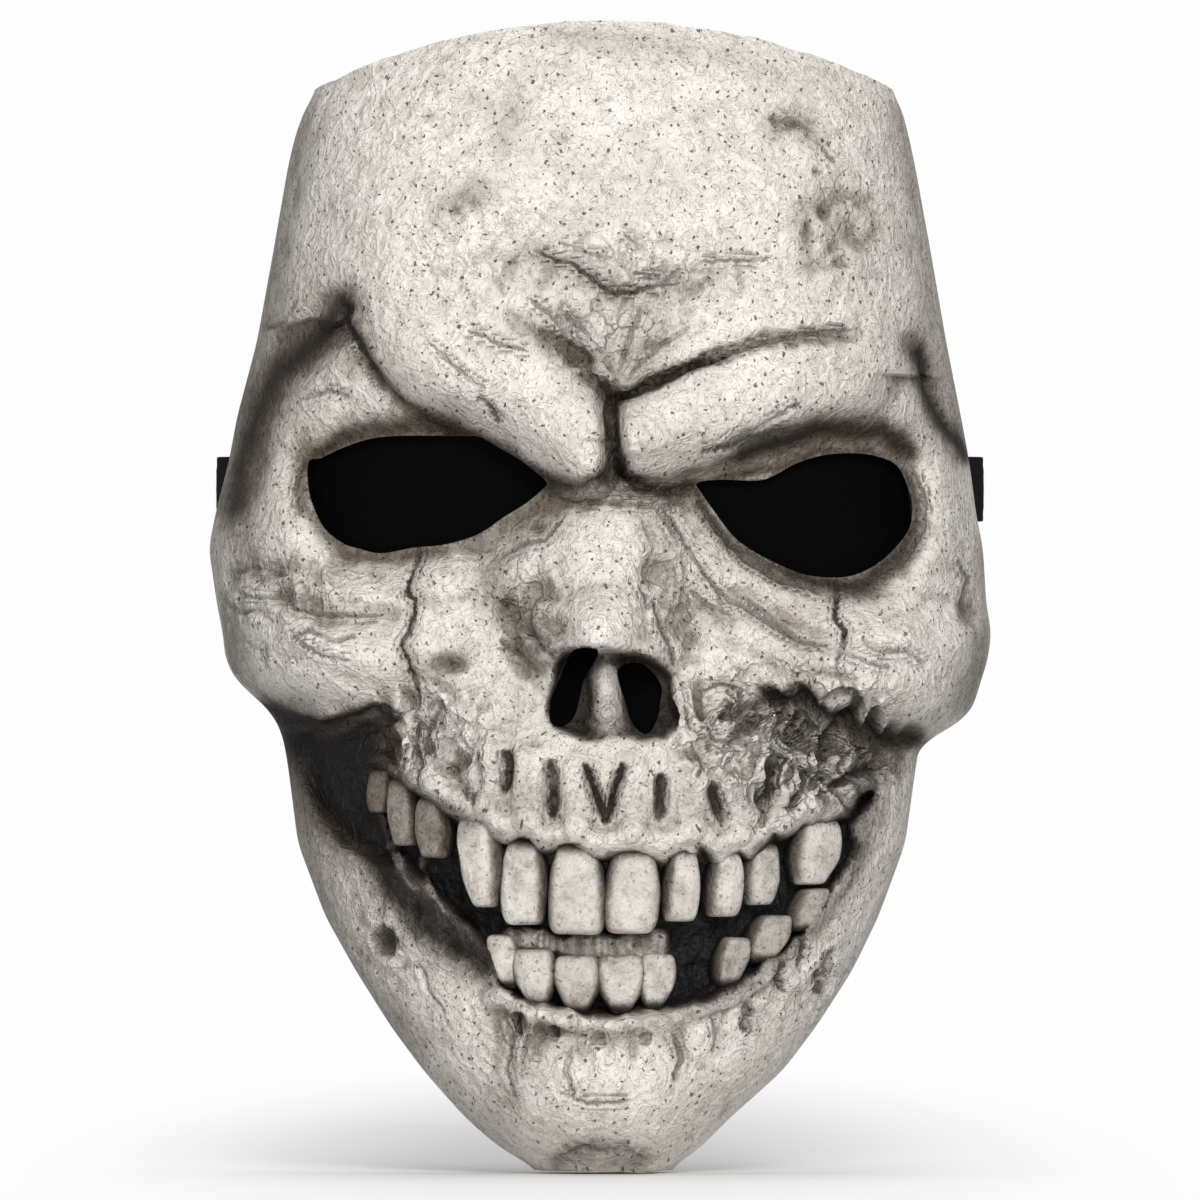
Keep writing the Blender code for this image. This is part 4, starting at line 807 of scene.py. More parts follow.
def dimples(across, up):
    """The relief of the scattered dimples, each a round bowl, in shares of RELIEF."""
    height = np.zeros(across.shape)
    for x, z, wide, tall, depth in zip(*scattered_pits()):
        near = (np.abs(across - x) < wide) & (np.abs(up - z) < tall)
        spread = ((across[near] - x) / wide) ** 2 + ((up[near] - z) / tall) ** 2
        height[near] -= depth * np.clip(1.0 - spread, 0.0, 1.0)
    return height


def paint(points, across, up):
    """The brush work on the bone: brown wash and black, both from 0 to 1, laid stroke over stroke, with
    painted shadow in the hollow under the left cheekbone and painted highlight where the paint is rubbed off
    the rims.
    """
    drift_across = soft_noise(points, 0.007, 60) * 0.010
    drift_up = soft_noise(points, 0.007, 63) * 0.010 / STRETCH
    across = across + drift_across
    up = up + drift_up
    clean = np.ones(across.shape)
    lit = np.ones(across.shape)
    for stroke in STROKES:
        distance, passed = line_distance(across, up, stroke.line, STROKE_REACH * stroke.width)
        cover = np.exp(-(distance / stroke.width) ** 2) * (distance < STROKE_REACH * stroke.width)
        clean *= 1.0 - stroke.wash * cover
        lit *= 1.0 - stroke.soot * cover ** 1.5
    mouth = hollow_cover(across, up, MOUTH_OUTLINE, 0.9 * MOUTH_EDGE)
    cavity = hollow_cover(across, up, CAVITY_OUTLINE, CAVITY_EDGE)
    # Painted shadow: brown and black in the hollow under the left cheekbone, less black towards its right over
    # the bone column
    cheek = hollow_cover(across, up, HOLLOW_OUTLINE, 1.4 * HOLLOW_EDGE)
    nose_bone = np.clip(2.6 * (ridge_height(across, up, SEPTUM) + mound_height(across, up, SPINE)), 0.0, 1.0)
    ledge = hollow_cover(across, up, LEDGE_OUTLINE, 0.015)
    strips = 0.5 + 0.5 * np.sin(across * 130.0 + 6.0 * drift_up / 0.002)
    column = soft_step((across + 0.62) / 0.14)
    clean *= 1.0 - mouth * (1.0 - ledge * (0.30 + 0.25 * strips))
    # The brown and black in the cheek hollow are painted shadow
    clean *= (1.0 - cavity * (1.0 - 0.75 * nose_bone)) * (1.0 - cheek)
    lit *= 1.0 - mouth * (1.0 - ledge * (0.75 + 0.2 * strips))
    lit *= (1.0 - 0.8 * cavity * (1.0 - nose_bone)) * (1.0 - cheek * (1.0 - 0.75 * column))
    # Painted highlight with rubbed paint: wash and black cleared along the raised rims
    for rim in RIMS:
        distance, passed = line_distance(across, up, rim.line, RIM_REACH * rim.width)
        off = rim.clean * np.exp(-(distance / rim.width) ** 2) * (distance < RIM_REACH * rim.width)
        clean += (1.0 - clean) * 0.7 * off
        lit += (1.0 - lit) * off
    return 1.0 - clean, 1.0 - lit


def pit_soot(across, up):
    """Black left in pits."""
    dark = np.zeros(across.shape)
    for pit in PITS:
        dark = np.maximum(dark, pit.soot * np.clip(1.2 - pit_share(across, up, pit), 0.0, 1.0))
    return dark


def box_blur(values, reach):
    """Mean over a square of cells either way, three times over, which is close to a bell curve."""
    for _ in range(3):
        for axis in (0, 1):
            padded = np.concatenate([np.repeat(values.take([0], axis), reach + 1, axis), values,
                                     np.repeat(values.take([-1], axis), reach, axis)], axis)
            total = np.cumsum(padded, axis)
            size = 2 * reach + 1
            count = values.shape[axis]
            values = (total.take(range(size, size + count), axis) - total.take(range(count), axis)) / size
    return values


def band_lines(bands):
    """Grid lines with each band's own spacing."""
    lines = [np.linspace(band.start, after.start, band.count, endpoint=False)
             for band, after in zip(bands[:-1], bands[1:])]
    return np.concatenate(lines + [[bands[-1].start]])


def column_lines(flat_count, side_count):
    """Even columns over the face, then columns at even angles round to both rims, from -1 to 1."""
    flat = np.linspace(-FLAT_SHARE, FLAT_SHARE, flat_count + 1)
    side = np.sin(np.linspace(math.asin(FLAT_SHARE), math.pi / 2, side_count + 1)[1:])
    return np.concatenate([-side[::-1], flat, side])


def chart(row, column):
    """Across and up shares of points on level rows, whose middles rise towards the crown."""
    left = section_value(row, "left")
    right = section_value(row, "right")
    across = (right - left) / 2 + (right + left) / 2 * column
    arch = ARCH_RISE * soft_step((row - ARCH_START) / (SECTIONS[-1].up - ARCH_START)) * (1.0 - column ** 2)
    return across, row + arch


def shell_depth(row, column, front_shift):
    """Depth of the plain shell: a superellipse from its front line back to its rims."""
    front = section_value(row, "front") * MASK_DEPTH + SEAT_SHIFT + front_shift
    rim = section_value(row, "rim") * MASK_DEPTH
    square = section_value(row, "square")
    return front + (rim - front) * (1.0 - (1.0 - np.abs(column) ** square) ** (1.0 / square))


def face_carving(row, column):
    """The carving at points of the shell, faded out where the shell turns back to its rims."""
    return carving(*chart(row, column)) * soft_step((1.0 - np.abs(column)) / EDGE_FADE)


def grid_normals(grid):
    """Unit vectors out of a grid of points: its across slope crossed with its up slope."""
    normal = np.cross(np.gradient(grid, axis=1), np.gradient(grid, axis=0))
    return normal / np.maximum(np.linalg.norm(normal, axis=-1, keepdims=True), 1e-12)


def outer_face():
    """The outer face as a grid of points with its paint: the carved shell, pushed out by the fine relief.

    Brown wash and painted shade gather where the relief lies under its own blurred copy, and in the hollows of
    the rot.
    The skin coordinates run along each row and up, unrolled, in metres.
    """
    row, column = np.meshgrid(band_lines(OUTER_ROWS), column_lines(*OUTER_COLUMNS), indexing="ij")
    across, up = chart(row, column)
    x, z = place(across, up)
    plain = np.stack([x, shell_depth(row, column, -WALL), z], axis=-1)
    drift_across = layered_noise(plain, 0.012, 2, 70) * 0.007
    drift_up = layered_noise(plain, 0.012, 2, 75) * 0.007 / STRETCH
    form = carving(across + drift_across, up + drift_up)
    side_fade = soft_step((1.0 - np.abs(column)) / EDGE_FADE)
    carved = plain.copy()
    carved[..., 1] -= form * side_fade
    shifted = across + 0.6 * drift_across, up + 0.6 * drift_up
    detail = bone_detail(plain, *shifted)
    rim_fade = soft_step((1.0 - np.abs(column)) / 0.02)
    cut = hollow_cover(across, up, MOUTH_OUTLINE, MOUTH_EDGE)
    bubbles = crease_noise(plain, 0.007, 2, 31) * 0.09 * cut
    height = (detail * (1.0 - 0.6 * cut) + bubbles) * rim_fade * RELIEF
    pushed = height + dimples(across, up) * (1.0 - cut) * rim_fade * RELIEF
    face = carved + grid_normals(carved) * pushed[..., None]
    level = height + form * side_fade
    # Brown wash with painted shade: darker where the relief lies below its blurred copy, in small and large
    # hollows
    wash_and_shade_small = np.clip((box_blur(level, 2) - level) / 0.00026 - 0.35, 0.0, 1.0)
    wash_and_shade_large = np.clip((box_blur(level, 6) - level) / 0.0018 - 0.30, 0.0, 1.0)
    wash, soot = paint(plain, across, up)
    pit_black = pit_soot(*shifted)
    wash = 1.0 - (1.0 - wash) * (1.0 - 0.34 * wash_and_shade_small) * (1.0 - 0.45 * wash_and_shade_large) * (1.0 - pit_black)
    soot = 1.0 - (1.0 - soot) * (1.0 - 0.9 * pit_black ** 1.5)
    rot = np.clip(np.max([mound_height(across, up, zone) for zone in ROT_ZONES], axis=0), 0.0, 1.0)
    # Brown wash and black with painted shade in the valleys of the rot
    hollows = soft_step((0.34 - rot_crests(plain)) / 0.22) * soft_step((rot - 0.15) / 0.7)
    wash = 1.0 - (1.0 - wash) * (1.0 - 0.70 * hollows)
    soot = 1.0 - (1.0 - soot) * (1.0 - 0.45 * hollows ** 2)
    steps = np.linalg.norm(np.diff(plain[..., :2], axis=1), axis=-1)
    along = np.concatenate([np.zeros((len(plain), 1)), np.cumsum(steps, axis=1)], axis=1)
    along -= along[:, along.shape[1] // 2][:, None]
    skin = np.stack([along, plain[..., 2], np.zeros(along.shape)], axis=-1)
    return face, {"wash": wash, "soot": soot, "rot": rot, "made": np.ones(wash.shape), "skin": skin,
                  "crease": crease_map(*shifted)}


def grid_faces(index):
    """Quads of a grid of vertex numbers, facing -Y where rows go up and columns go right."""
    return np.stack([index[:-1, :-1].ravel(), index[:-1, 1:].ravel(),
                     index[1:, 1:].ravel(), index[1:, :-1].ravel()], axis=1)


def closed_body(name, grid):
    """A closed mesh whose front is the grid, flat across its back from rim to rim and at both ends."""
    index = np.arange(grid.shape[0] * grid.shape[1]).reshape(grid.shape[:2])
    faces = grid_faces(index).tolist()
    last = index.shape[1] - 1
    for level, turn in ((index[0], -1), (index[-1], 1)):
        for near in range(last // 2):
            corners = [level[near], level[near + 1], level[last - near - 1], level[last - near]]
            corners = list(dict.fromkeys(int(corner) for corner in corners))
            faces.append(corners[::turn])
    back = np.stack([index[:-1, 0], index[1:, 0], index[1:, -1], index[:-1, -1]], axis=1)
    mesh = bpy.data.meshes.new(name)
    mesh.from_pydata(grid.reshape(-1, 3).tolist(), [], faces + back.tolist())
    mesh.validate()
    return mesh


def set_values(mesh, values):
    """Write arrays of numbers to the mesh's points, one attribute for each name."""
    for name, array in values.items():
        array = np.asarray(array, dtype=np.float32)
        kind, slot_name = ("FLOAT_VECTOR", "vector") if name in ("skin", "crease") else ("FLOAT", "value")
        layer = mesh.attributes.get(name) or mesh.attributes.new(name, kind, "POINT")
        layer.data.foreach_set(slot_name, array.ravel())


def add_piece(name, mesh, material, slot, *nodes):
    """A finished piece: its object and finish, the CAD nodes that it stands for, and its body."""
    piece = bpy.data.objects.new(name, mesh)
    bpy.context.scene.collection.objects.link(piece)
    mesh.materials.clear()
    mesh.materials.append(material)
    if nodes:
        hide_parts(*nodes)
    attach(piece, "root")
    return piece


def shade_smooth(mesh, degrees):
    """Smooth shading, broken where faces meet at more than an angle."""
    mesh.shade_smooth()
    mesh.set_sharp_from_angle(angle=math.radians(degrees))


def prism(name, outline):
    """A straight prism along Y through the shell: two rings of points, and a fan over each end."""
    x, z = place(outline[:, 0], outline[:, 1])
    count = len(outline)
    ring = np.arange(count)
    following = np.roll(ring, -1)
    front = np.stack([x, np.full(count, -CUT_REACH), z], axis=1)
    back = np.stack([x, np.full(count, CUT_REACH), z], axis=1)
    sides = np.stack([ring, following, following + count, ring + count], axis=1)
    turning = np.sum(x * np.roll(z, -1) - np.roll(x, -1) * z)
    faces = sides.tolist() + [ring[::-1].tolist(), (ring + count).tolist()]
    if turning > 0:
        faces = [face[::-1] for face in faces]
    mesh = bpy.data.meshes.new(name)
    mesh.from_pydata(np.concatenate([front, back]).tolist(), [], faces)
    return mesh


def cut_away(body, cutters):
    """The body's mesh with every cutter taken out of it."""
    shown = []
    for mesh in [body] + cutters:
        thing = bpy.data.objects.new(mesh.name, mesh)
        bpy.context.scene.collection.objects.link(thing)
        shown.append(thing)
    for cutter in shown[1:]:
        cut = shown[0].modifiers.new(cutter.name, "BOOLEAN")
        cut.operation = "DIFFERENCE"
        cut.solver = "MANIFOLD"
        cut.object = cutter
    bpy.context.view_layer.update()
    finished = bpy.data.meshes.new_from_object(shown[0].evaluated_get(bpy.context.evaluated_depsgraph_get()))
    for thing in shown:
        mesh = thing.data
        bpy.data.objects.remove(thing, do_unlink=True)
        bpy.data.meshes.remove(mesh)
    return finished


def hollow_space(grid):
    """The space inside the shell, carried past its rims and the crown, from above the chin's floor."""
    grid = np.concatenate([grid, grid[-1:] + np.array([0.0, 0.0, RELIEF])], axis=0)
    back = np.array([0.0, RELIEF, 0.0])
    grid = np.concatenate([grid[:, :1] + back, grid, grid[:, -1:] + back], axis=1)
    return closed_body("face_space", grid)


def read_points(mesh):
    """The mesh's points as rows of x, y and z."""
    points = np.empty(len(mesh.vertices) * 3)
    mesh.vertices.foreach_get("co", points)
    return points.reshape(-1, 3)


def make_shell(material):
    """The moulded shell: the painted outer face, hollow behind, open at the eyes and nostrils."""
    face, values = outer_face()
    body = closed_body("bone_shell", face)
    set_values(body, values)
    cutters = [hollow_space(inner_face(band_lines(INNER_ROWS), column_lines(*INNER_COLUMNS)))]
    cutters += [prism(f"opening_{number}", outline)
                for number, outline in enumerate(EYE_OUTLINES + NOSTRIL_OUTLINES)]
    mesh = cut_away(body, cutters)
    mesh.name = "bone_shell"
    points = read_points(mesh)
    count = len(points)
    kept = {name: np.empty(count, dtype=np.float32) for name in ("wash", "soot", "rot", "made")}
    for name, array in kept.items():
        mesh.attributes[name].data.foreach_get("value", array)
    across = points[:, 0] / HALF_WIDTH
    up = points[:, 2] / MASK_HEIGHT + SEAT_UP
    edge, nostril = (np.min([np.abs(outline_distance(across, up, outline, 0.05)) for outline in outlines],
                            axis=0) for outlines in (EYE_OUTLINES, NOSTRIL_OUTLINES))
    cut = (kept["made"] < 0.5) & ((edge < HOLE_RIM) | (nostril < HOLE_RIM))
    kept["wash"] = np.where(cut, 0.85, kept["wash"])
    kept["soot"] = np.where(cut, np.where(nostril < HOLE_RIM, 0.9, 0.45), kept["soot"])
    kept["made"] = np.where(cut, 1.0, kept["made"])
    set_values(mesh, kept)
    shade_smooth(mesh, 60)
    return add_piece("bone_shell", mesh, material, "painted_bone", "mask_shell")


def face_depth(across, up):
    """Depth of the face round the mouth at one place, without its hollows and lines."""
    left = section_value(up, "left")
    right = section_value(up, "right")
    column = (across - (right - left) / 2) / ((right + left) / 2)
    mounds = sum(mound_height(across, up, mound) for mound in MOUNDS)
    return shell_depth(up, column, -WALL) - mounds * RELIEF


def signed_power(value, power):
    """A power of the size of a value that keeps its sign."""
    return np.sign(value) * np.abs(value) ** power


def tooth_surface(tooth, gum_above, seed):
    """One tooth as a rounded block: a superellipse round its axis by a superellipse along it.

    Its width runs from its neck at the gum to its tip, it leans in the face, is bowed at the front,
    is made uneven by soft noise and is turned with the jaw. With it come its wash and its black: stains, and
    painted shade on its sides, under the gum's lip and at its back.
    """
    around = np.linspace(-math.pi, math.pi, 56, endpoint=False)[None, :]
    rise = np.linspace(-math.pi / 2, math.pi / 2, 40)[:, None]
    z = signed_power(np.sin(rise), 0.70) + 0.0 * around
    gum_share = 0.5 + 0.5 * (z if gum_above else -z)
    belt = np.abs(np.cos(rise)) ** (0.26 + 0.20 * soft_step(gum_share))
    x = belt * signed_power(np.cos(around), 0.48)
    y = belt * signed_power(np.sin(around), 0.66)
    width = tooth.neck + (1.0 - tooth.neck) * soft_step((1.0 - gum_share) / 0.62)
    width = width + (tooth.tip - 1.0) * soft_step((0.42 - gum_share) / 0.42)
    length = (MOUTH_DEPTH + tooth.stand) * RELIEF + 0.0015
    local = np.stack([x * width * (tooth.wide * HALF_WIDTH + 0.0004), y * length / 2,
                      z * tooth.tall * MASK_HEIGHT], axis=-1)
    front_share = soft_step((-y - 0.2) / 0.6)
    local[..., 1] -= 0.0012 * front_share * np.cos(np.clip(x, -1.0, 1.0) * 1.3) * (1.0 - 0.6 * gum_share)
    offset = np.array([seed * 0.031, seed * 0.017, 0.0])
    groove = layered_noise(local * np.array([1.6, 1.0, 0.35]) + offset, 0.0040, 2, 90 + seed)
    local[..., 1] += 0.00040 * groove * front_share
    wobble = layered_noise(local + offset, 0.007, 2, 120 + seed)
    local = local * (1.0 + 0.05 * wobble[..., None] * belt[..., None])
    leaning = local[..., 0] + tooth.lean * local[..., 2]
    before = face_depth(tooth.across - tooth.wide, tooth.up)
    after = face_depth(tooth.across + tooth.wide, tooth.up)
    angle = math.atan2(after - before, 2 * tooth.wide * HALF_WIDTH)
    turned = local.copy()
    turned[..., 0] = leaning * math.cos(angle) - local[..., 1] * math.sin(angle)
    turned[..., 1] = leaning * math.sin(angle) + local[..., 1] * math.cos(angle)
    centre_x, centre_z = place(tooth.across, tooth.up)
    front = face_depth(tooth.across, tooth.up) - tooth.stand * RELIEF
    grid = turned + np.array([centre_x, front + length / 2, centre_z])
    # Painted shade: browner and blacker on the tooth's sides, under the gum's lip and on its back
    side = soft_step((np.abs(x) - 0.66) / 0.34)
    gum = soft_step((gum_share - (0.80 if gum_above else 0.72)) / 0.20)
    tip = soft_step((0.10 - gum_share) / 0.12)
    behind = soft_step((y + 0.35) / 0.5)
    patch = np.clip(layered_noise(local + offset, 0.005, 2, 150 + seed), 0.0, 1.0)
    # Wash and black: painted shade from the sides, gum and back, with stains from the patches and the tooth's
    # own stain
    wash = 1.0 - (1.0 - 0.75 * side) * (1.0 - 0.92 * gum) * (1.0 - 0.95 * behind) * (1.0 - 0.30 * tip)
    wash = 1.0 - (1.0 - wash) * (1.0 - 0.40 * patch) * (1.0 - tooth.stain)
    soot = (1.0 - 0.45 * side ** 2) * (1.0 - 0.80 * gum ** 2) * (1.0 - 0.95 * behind)
    soot = 1.0 - soot * (1.0 - 0.4 * tooth.stain)
    return grid, wash, soot


def tube_faces(index):
    """Quads round a grid of vertex numbers whose columns close on themselves, and its two end caps."""
    wrapped = np.concatenate([index, index[:, :1]], axis=1)
    return grid_faces(wrapped).tolist() + [index[0][::-1].tolist(), index[-1].tolist()]


def make_teeth(name, teeth, gum_above, material):
    """A row of teeth as one mesh of closed blocks."""
    points, faces, wash, soot = [], [], [], []
    start = 0
    for number, tooth in enumerate(teeth):
        grid, tooth_wash, tooth_soot = tooth_surface(tooth, gum_above, number)
        stain = BACK_TOOTH_STAIN if tooth.across < BACK_TOOTH_ACROSS else TOOTH_STAIN
        index = np.arange(grid.shape[0] * grid.shape[1]).reshape(grid.shape[:2]) + start
        start += index.size
        points.append(grid.reshape(-1, 3))
        faces += tube_faces(index)
        wash.append(1.0 - (1.0 - tooth_wash) * (1.0 - stain))
        soot.append(tooth_soot)
    mesh = bpy.data.meshes.new(name)
    mesh.from_pydata(np.concatenate(points).tolist(), [], faces)
    mesh.validate()
    set_values(mesh, {"wash": np.concatenate([w.ravel() for w in wash]),
                      "soot": np.concatenate([s.ravel() for s in soot]),
                      "rot": np.zeros(start), "made": np.ones(start),
                      "skin": np.concatenate(points)[:, [0, 2, 1]],
                      "crease": np.tile([CREASE_REACH * MILLIMETRES, 1.0, 0.0], (start, 1))})
    shade_smooth(mesh, 60)
    return add_piece(name, mesh, material, "painted_bone")


def inner_face(rows, columns):
    """The inner face: the plain shell set in by the wall, and behind the deepest carving nearby."""
    row, column = np.meshgrid(rows, columns, indexing="ij")
    steps = np.linspace(-1.0, 1.0, LOOK_STEPS)
    top = SECTIONS[-1].up
    nearby = [face_carving(np.clip(row + step_up * LOOK_UP, 0.0, top),
                           np.clip(column + step_across * LOOK_ACROSS, -1.0, 1.0))
              for step_up in steps for step_across in steps]
    x, z = place(*chart(row, column))
    half = (section_value(row, "left") + section_value(row, "right")) / 2 * HALF_WIDTH
    depth = shell_depth(row, column, 0.0) - np.min(nearby, axis=0)
    return np.stack([x - WALL * x / half, depth, z], axis=-1)


def closed_sheet(name, front, back, lengths):
    """Two matching grids joined round their rims, with a UV map in metres over both."""
    count = front.shape[0] * front.shape[1]
    index = np.arange(count).reshape(front.shape[:2])
    rim = np.concatenate([index[0, :-1], index[:-1, -1], index[-1, :0:-1], index[:0:-1, 0]])
    following = np.roll(rim, -1)
    edge = np.stack([rim, rim + count, following + count, following], axis=1)
    faces = np.concatenate([grid_faces(index), grid_faces(index)[:, ::-1] + count, edge])
    mesh = bpy.data.meshes.new(name)
    mesh.from_pydata(np.concatenate([front.reshape(-1, 3), back.reshape(-1, 3)]).tolist(), [], faces.tolist())
    mesh.validate()
    u, v = np.meshgrid(np.linspace(0.0, lengths[1], front.shape[0]),
                       np.linspace(0.0, lengths[0], front.shape[1]), indexing="ij")
    flat = np.tile(np.stack([v, u], axis=-1).reshape(-1, 2), (2, 1))
    corners = np.empty(len(mesh.loops), dtype=int)
    mesh.loops.foreach_get("vertex_index", corners)
    layer = mesh.uv_layers.new(name="weave")
    layer.data.foreach_set("uv", flat[corners].ravel())
    shade_smooth(mesh, 50)
    return mesh


def grid_lengths(grid):
    """How wide and how tall a grid of points is along its middle row and its middle column."""
    steps_across = np.linalg.norm(np.diff(grid[grid.shape[0] // 2], axis=0), axis=1)
    steps_up = np.linalg.norm(np.diff(grid[:, grid.shape[1] // 2], axis=0), axis=1)
    return float(steps_across.sum()), float(steps_up.sum())


def make_gauze(node, material):
    """Gauze glued behind an opening, over the room that its CAD node takes.

    Its front is the inner face pushed back along its normals by a gap, its back is a thickness further.
    """
    low, high = (np.array(corner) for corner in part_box(node))
    low_up, high_up = low[2] / MASK_HEIGHT + SEAT_UP, high[2] / MASK_HEIGHT + SEAT_UP
    middle = (low_up + high_up) / 2
    left = float(section_value(np.array(middle), "left"))
    right = float(section_value(np.array(middle), "right"))
    ends = [(x / HALF_WIDTH - (right - left) / 2) / ((right + left) / 2) for x in (low[0], high[0])]
    grid = inner_face(np.linspace(low_up + 0.002, high_up - 0.002, 40),
                      np.linspace(ends[0] + 0.01, ends[1] - 0.01, 60))
    out = -grid_normals(grid)
    front = grid + out * GAUZE_GAP
    back = front + out * GAUZE_THICKNESS
    lengths = grid_lengths(front)
    name = node + "_cloth"
    piece = add_piece(name, closed_sheet(name, front, back, lengths), material, "black_gauze", node)
    return piece


def strap_path():
    """The strap seen from above: along one wall, out, round the back of the head and in again."""
    grid = inner_face(np.linspace(STRAP_UP - 0.035, STRAP_UP + 0.035, 15), column_lines(*INNER_COLUMNS))
    rim = float(section_value(np.array(STRAP_UP), "rim")) * MASK_DEPTH
    halves = []
    for side in (-1, 1):
        walls = grid[:, ::side][:, -3 * INNER_COLUMNS[1]:]
        depths = np.linspace(rim - STRAP_LAP, rim, 5)
        nearest = np.min([np.interp(depths, wall[:, 1], np.abs(wall[:, 0])) for wall in walls], axis=0)
        wall = np.stack([side * (nearest - 2 * CLEARANCE - STRAP_THICKNESS / 2), depths], axis=1)
        start = wall[-1]
        lead = (wall[-1] - wall[-2]) / np.linalg.norm(wall[-1] - wall[-2])
        turn = np.array([side * (STRAP_SPAN - STRAP_THICKNESS) / 2, start[1] + STRAP_LAP])
        t = np.linspace(0.0, 1.0, 17)[1:, None]
        blend = ((2 * t ** 3 - 3 * t ** 2 + 1) * start + (t ** 3 - 2 * t ** 2 + t) * lead * STRAP_LAP
                 + (3 * t ** 2 - 2 * t ** 3) * turn + (t ** 3 - t ** 2) * np.array([0.0, STRAP_LAP]))
        halves.append(np.concatenate([wall, blend]))
    left, right = halves
    angles = np.linspace(0.0, math.pi, 81)[1:-1]
    middle = (left[-1, 1] + right[-1, 1]) / 2
    back = np.stack([-np.cos(angles) * abs(left[-1, 0]),
                     middle + np.sin(angles) * (STRAP_REACH - middle)], axis=1)
    return np.concatenate([left, back, right[::-1]]), left[:5]


def make_strap(material):
    """The elastic: a flat profile with rounded edges and four low ribs, carried along its path upright."""
    path, _ = strap_path()
    way = np.gradient(path, axis=0)
    way /= np.linalg.norm(way, axis=1, keepdims=True)
    out = np.stack([way[:, 1], -way[:, 0]], axis=1)
    along = np.concatenate([[0.0], np.cumsum(np.linalg.norm(np.diff(path, axis=0), axis=1))])
    around = np.linspace(0.0, 2 * math.pi, 48, endpoint=False)
    high = signed_power(np.sin(around), 0.45) * STRAP_WIDTH / 2
    thick = signed_power(np.cos(around), 0.35) * STRAP_THICKNESS / 2
    thick = thick * (0.90 + 0.10 * np.cos(high / STRAP_WIDTH * 8 * math.pi))
    centre = np.concatenate([path, np.full((len(path), 1), (STRAP_UP - SEAT_UP) * MASK_HEIGHT)], axis=1)
    side = np.concatenate([out, np.zeros((len(path), 1))], axis=1)
    grid = centre[:, None] + side[:, None] * thick[None, :, None]
    grid[..., 2] += high
    index = np.arange(grid.shape[0] * grid.shape[1]).reshape(grid.shape[:2])
    mesh = bpy.data.meshes.new("elastic_strap")
    mesh.from_pydata(grid.reshape(-1, 3).tolist(), [], tube_faces(index))
    mesh.validate()
    length = np.repeat(along[:, None], len(around), axis=1)
    flat = np.stack([length, np.repeat(high[None], len(path), axis=0)], axis=-1).reshape(-1, 2)
    corners = np.empty(len(mesh.loops), dtype=int)
    mesh.loops.foreach_get("vertex_index", corners)
    mesh.uv_layers.new(name="weave").data.foreach_set("uv", flat[corners].ravel())
    shade_smooth(mesh, 60)
    return add_piece("elastic_strap", mesh, material, "black_elastic", "strap")


def make_tab(name, side, node, material):
    """A sewn cloth tab: a thin pillow of two grids, with a box and a cross of stitches pressed in."""
    path, left_wall = strap_path()
    wall = left_wall if side < 0 else path[::-1][:5]
    along = wall[3] - wall[1]
    lean = math.atan2(along[0], along[1])
    inward = np.array([-side * math.cos(lean), side * math.sin(lean)])
    middle = (wall[1] + wall[3]) / 2 + inward * (STRAP_THICKNESS / 2 + CLEARANCE + TAB_THICKNESS / 2)
    u, v = np.meshgrid(np.linspace(-1.0, 1.0, 72), np.linspace(-1.0, 1.0, 72), indexing="ij")
    edge = np.maximum(np.abs(u), np.abs(v))
    puff = np.sqrt(np.clip(1.0 - edge ** 12, 0.0, 1.0)) * TAB_THICKNESS / 2
    frame_line = np.abs(edge - 0.80)
    cross_line = np.where(edge < 0.80, np.minimum(np.abs(u - v), np.abs(u + v)) * 0.7, 1.0)
    seam = np.exp(-(np.minimum(frame_line, cross_line) / 0.05) ** 2)
    stitch = 0.5 + 0.5 * np.sin((u + v) * 26.0) * np.sin((u - v) * 26.0)
    face = puff - seam * (0.30 - 0.30 * stitch) * TAB_THICKNESS / 2
    forward = np.array([along[0], along[1]]) / np.linalg.norm(along)
    base = np.zeros(u.shape + (3,))
    base[..., 0] = middle[0] + forward[0] * v * TAB_LENGTH / 2
    base[..., 1] = middle[1] + forward[1] * v * TAB_LENGTH / 2
    base[..., 2] = (STRAP_UP - SEAT_UP) * MASK_HEIGHT + u * STRAP_WIDTH / 2
    across = np.array([inward[0], inward[1], 0.0])
    near = base + across * face[..., None]
    far = base - across * puff[..., None]
    if side > 0:
        near, far = near[:, ::-1], far[:, ::-1]
    mesh = closed_sheet(name, near, far, (TAB_LENGTH, STRAP_WIDTH))
    return add_piece(name, mesh, material, "tab_cloth", node)


# Finishes
def new_material(name):
    """A material with its shader, and the tree that it stands in."""
    material = bpy.data.materials.new(name)
    material.use_nodes = True
    tree = material.node_tree
    return material, tree, tree.nodes["Principled BSDF"]


def add_node(tree, kind, settings=None, **inputs):
    """One node with its settings. Inputs are joined where given a socket and set where given a value.

    An input is named by its label, or by its number after an underscore.
    """
    node = tree.nodes.new(kind)
    for name, value in (settings or {}).items():
        setattr(node, name, value)
    for name, value in inputs.items():
        socket = node.inputs[int(name[1:]) if name[0] == "_" else name.replace("_", " ")]
        if isinstance(value, bpy.types.NodeSocket):
            tree.links.new(value, socket)
        else:
            socket.default_value = value
    return node


def math_node(tree, operation, first, second=0.0, third=0.0):
    """The result of one sum."""
    node = add_node(tree, "ShaderNodeMath", {"operation": operation}, _0=first, _1=second, _2=third)
    return node.outputs[0]


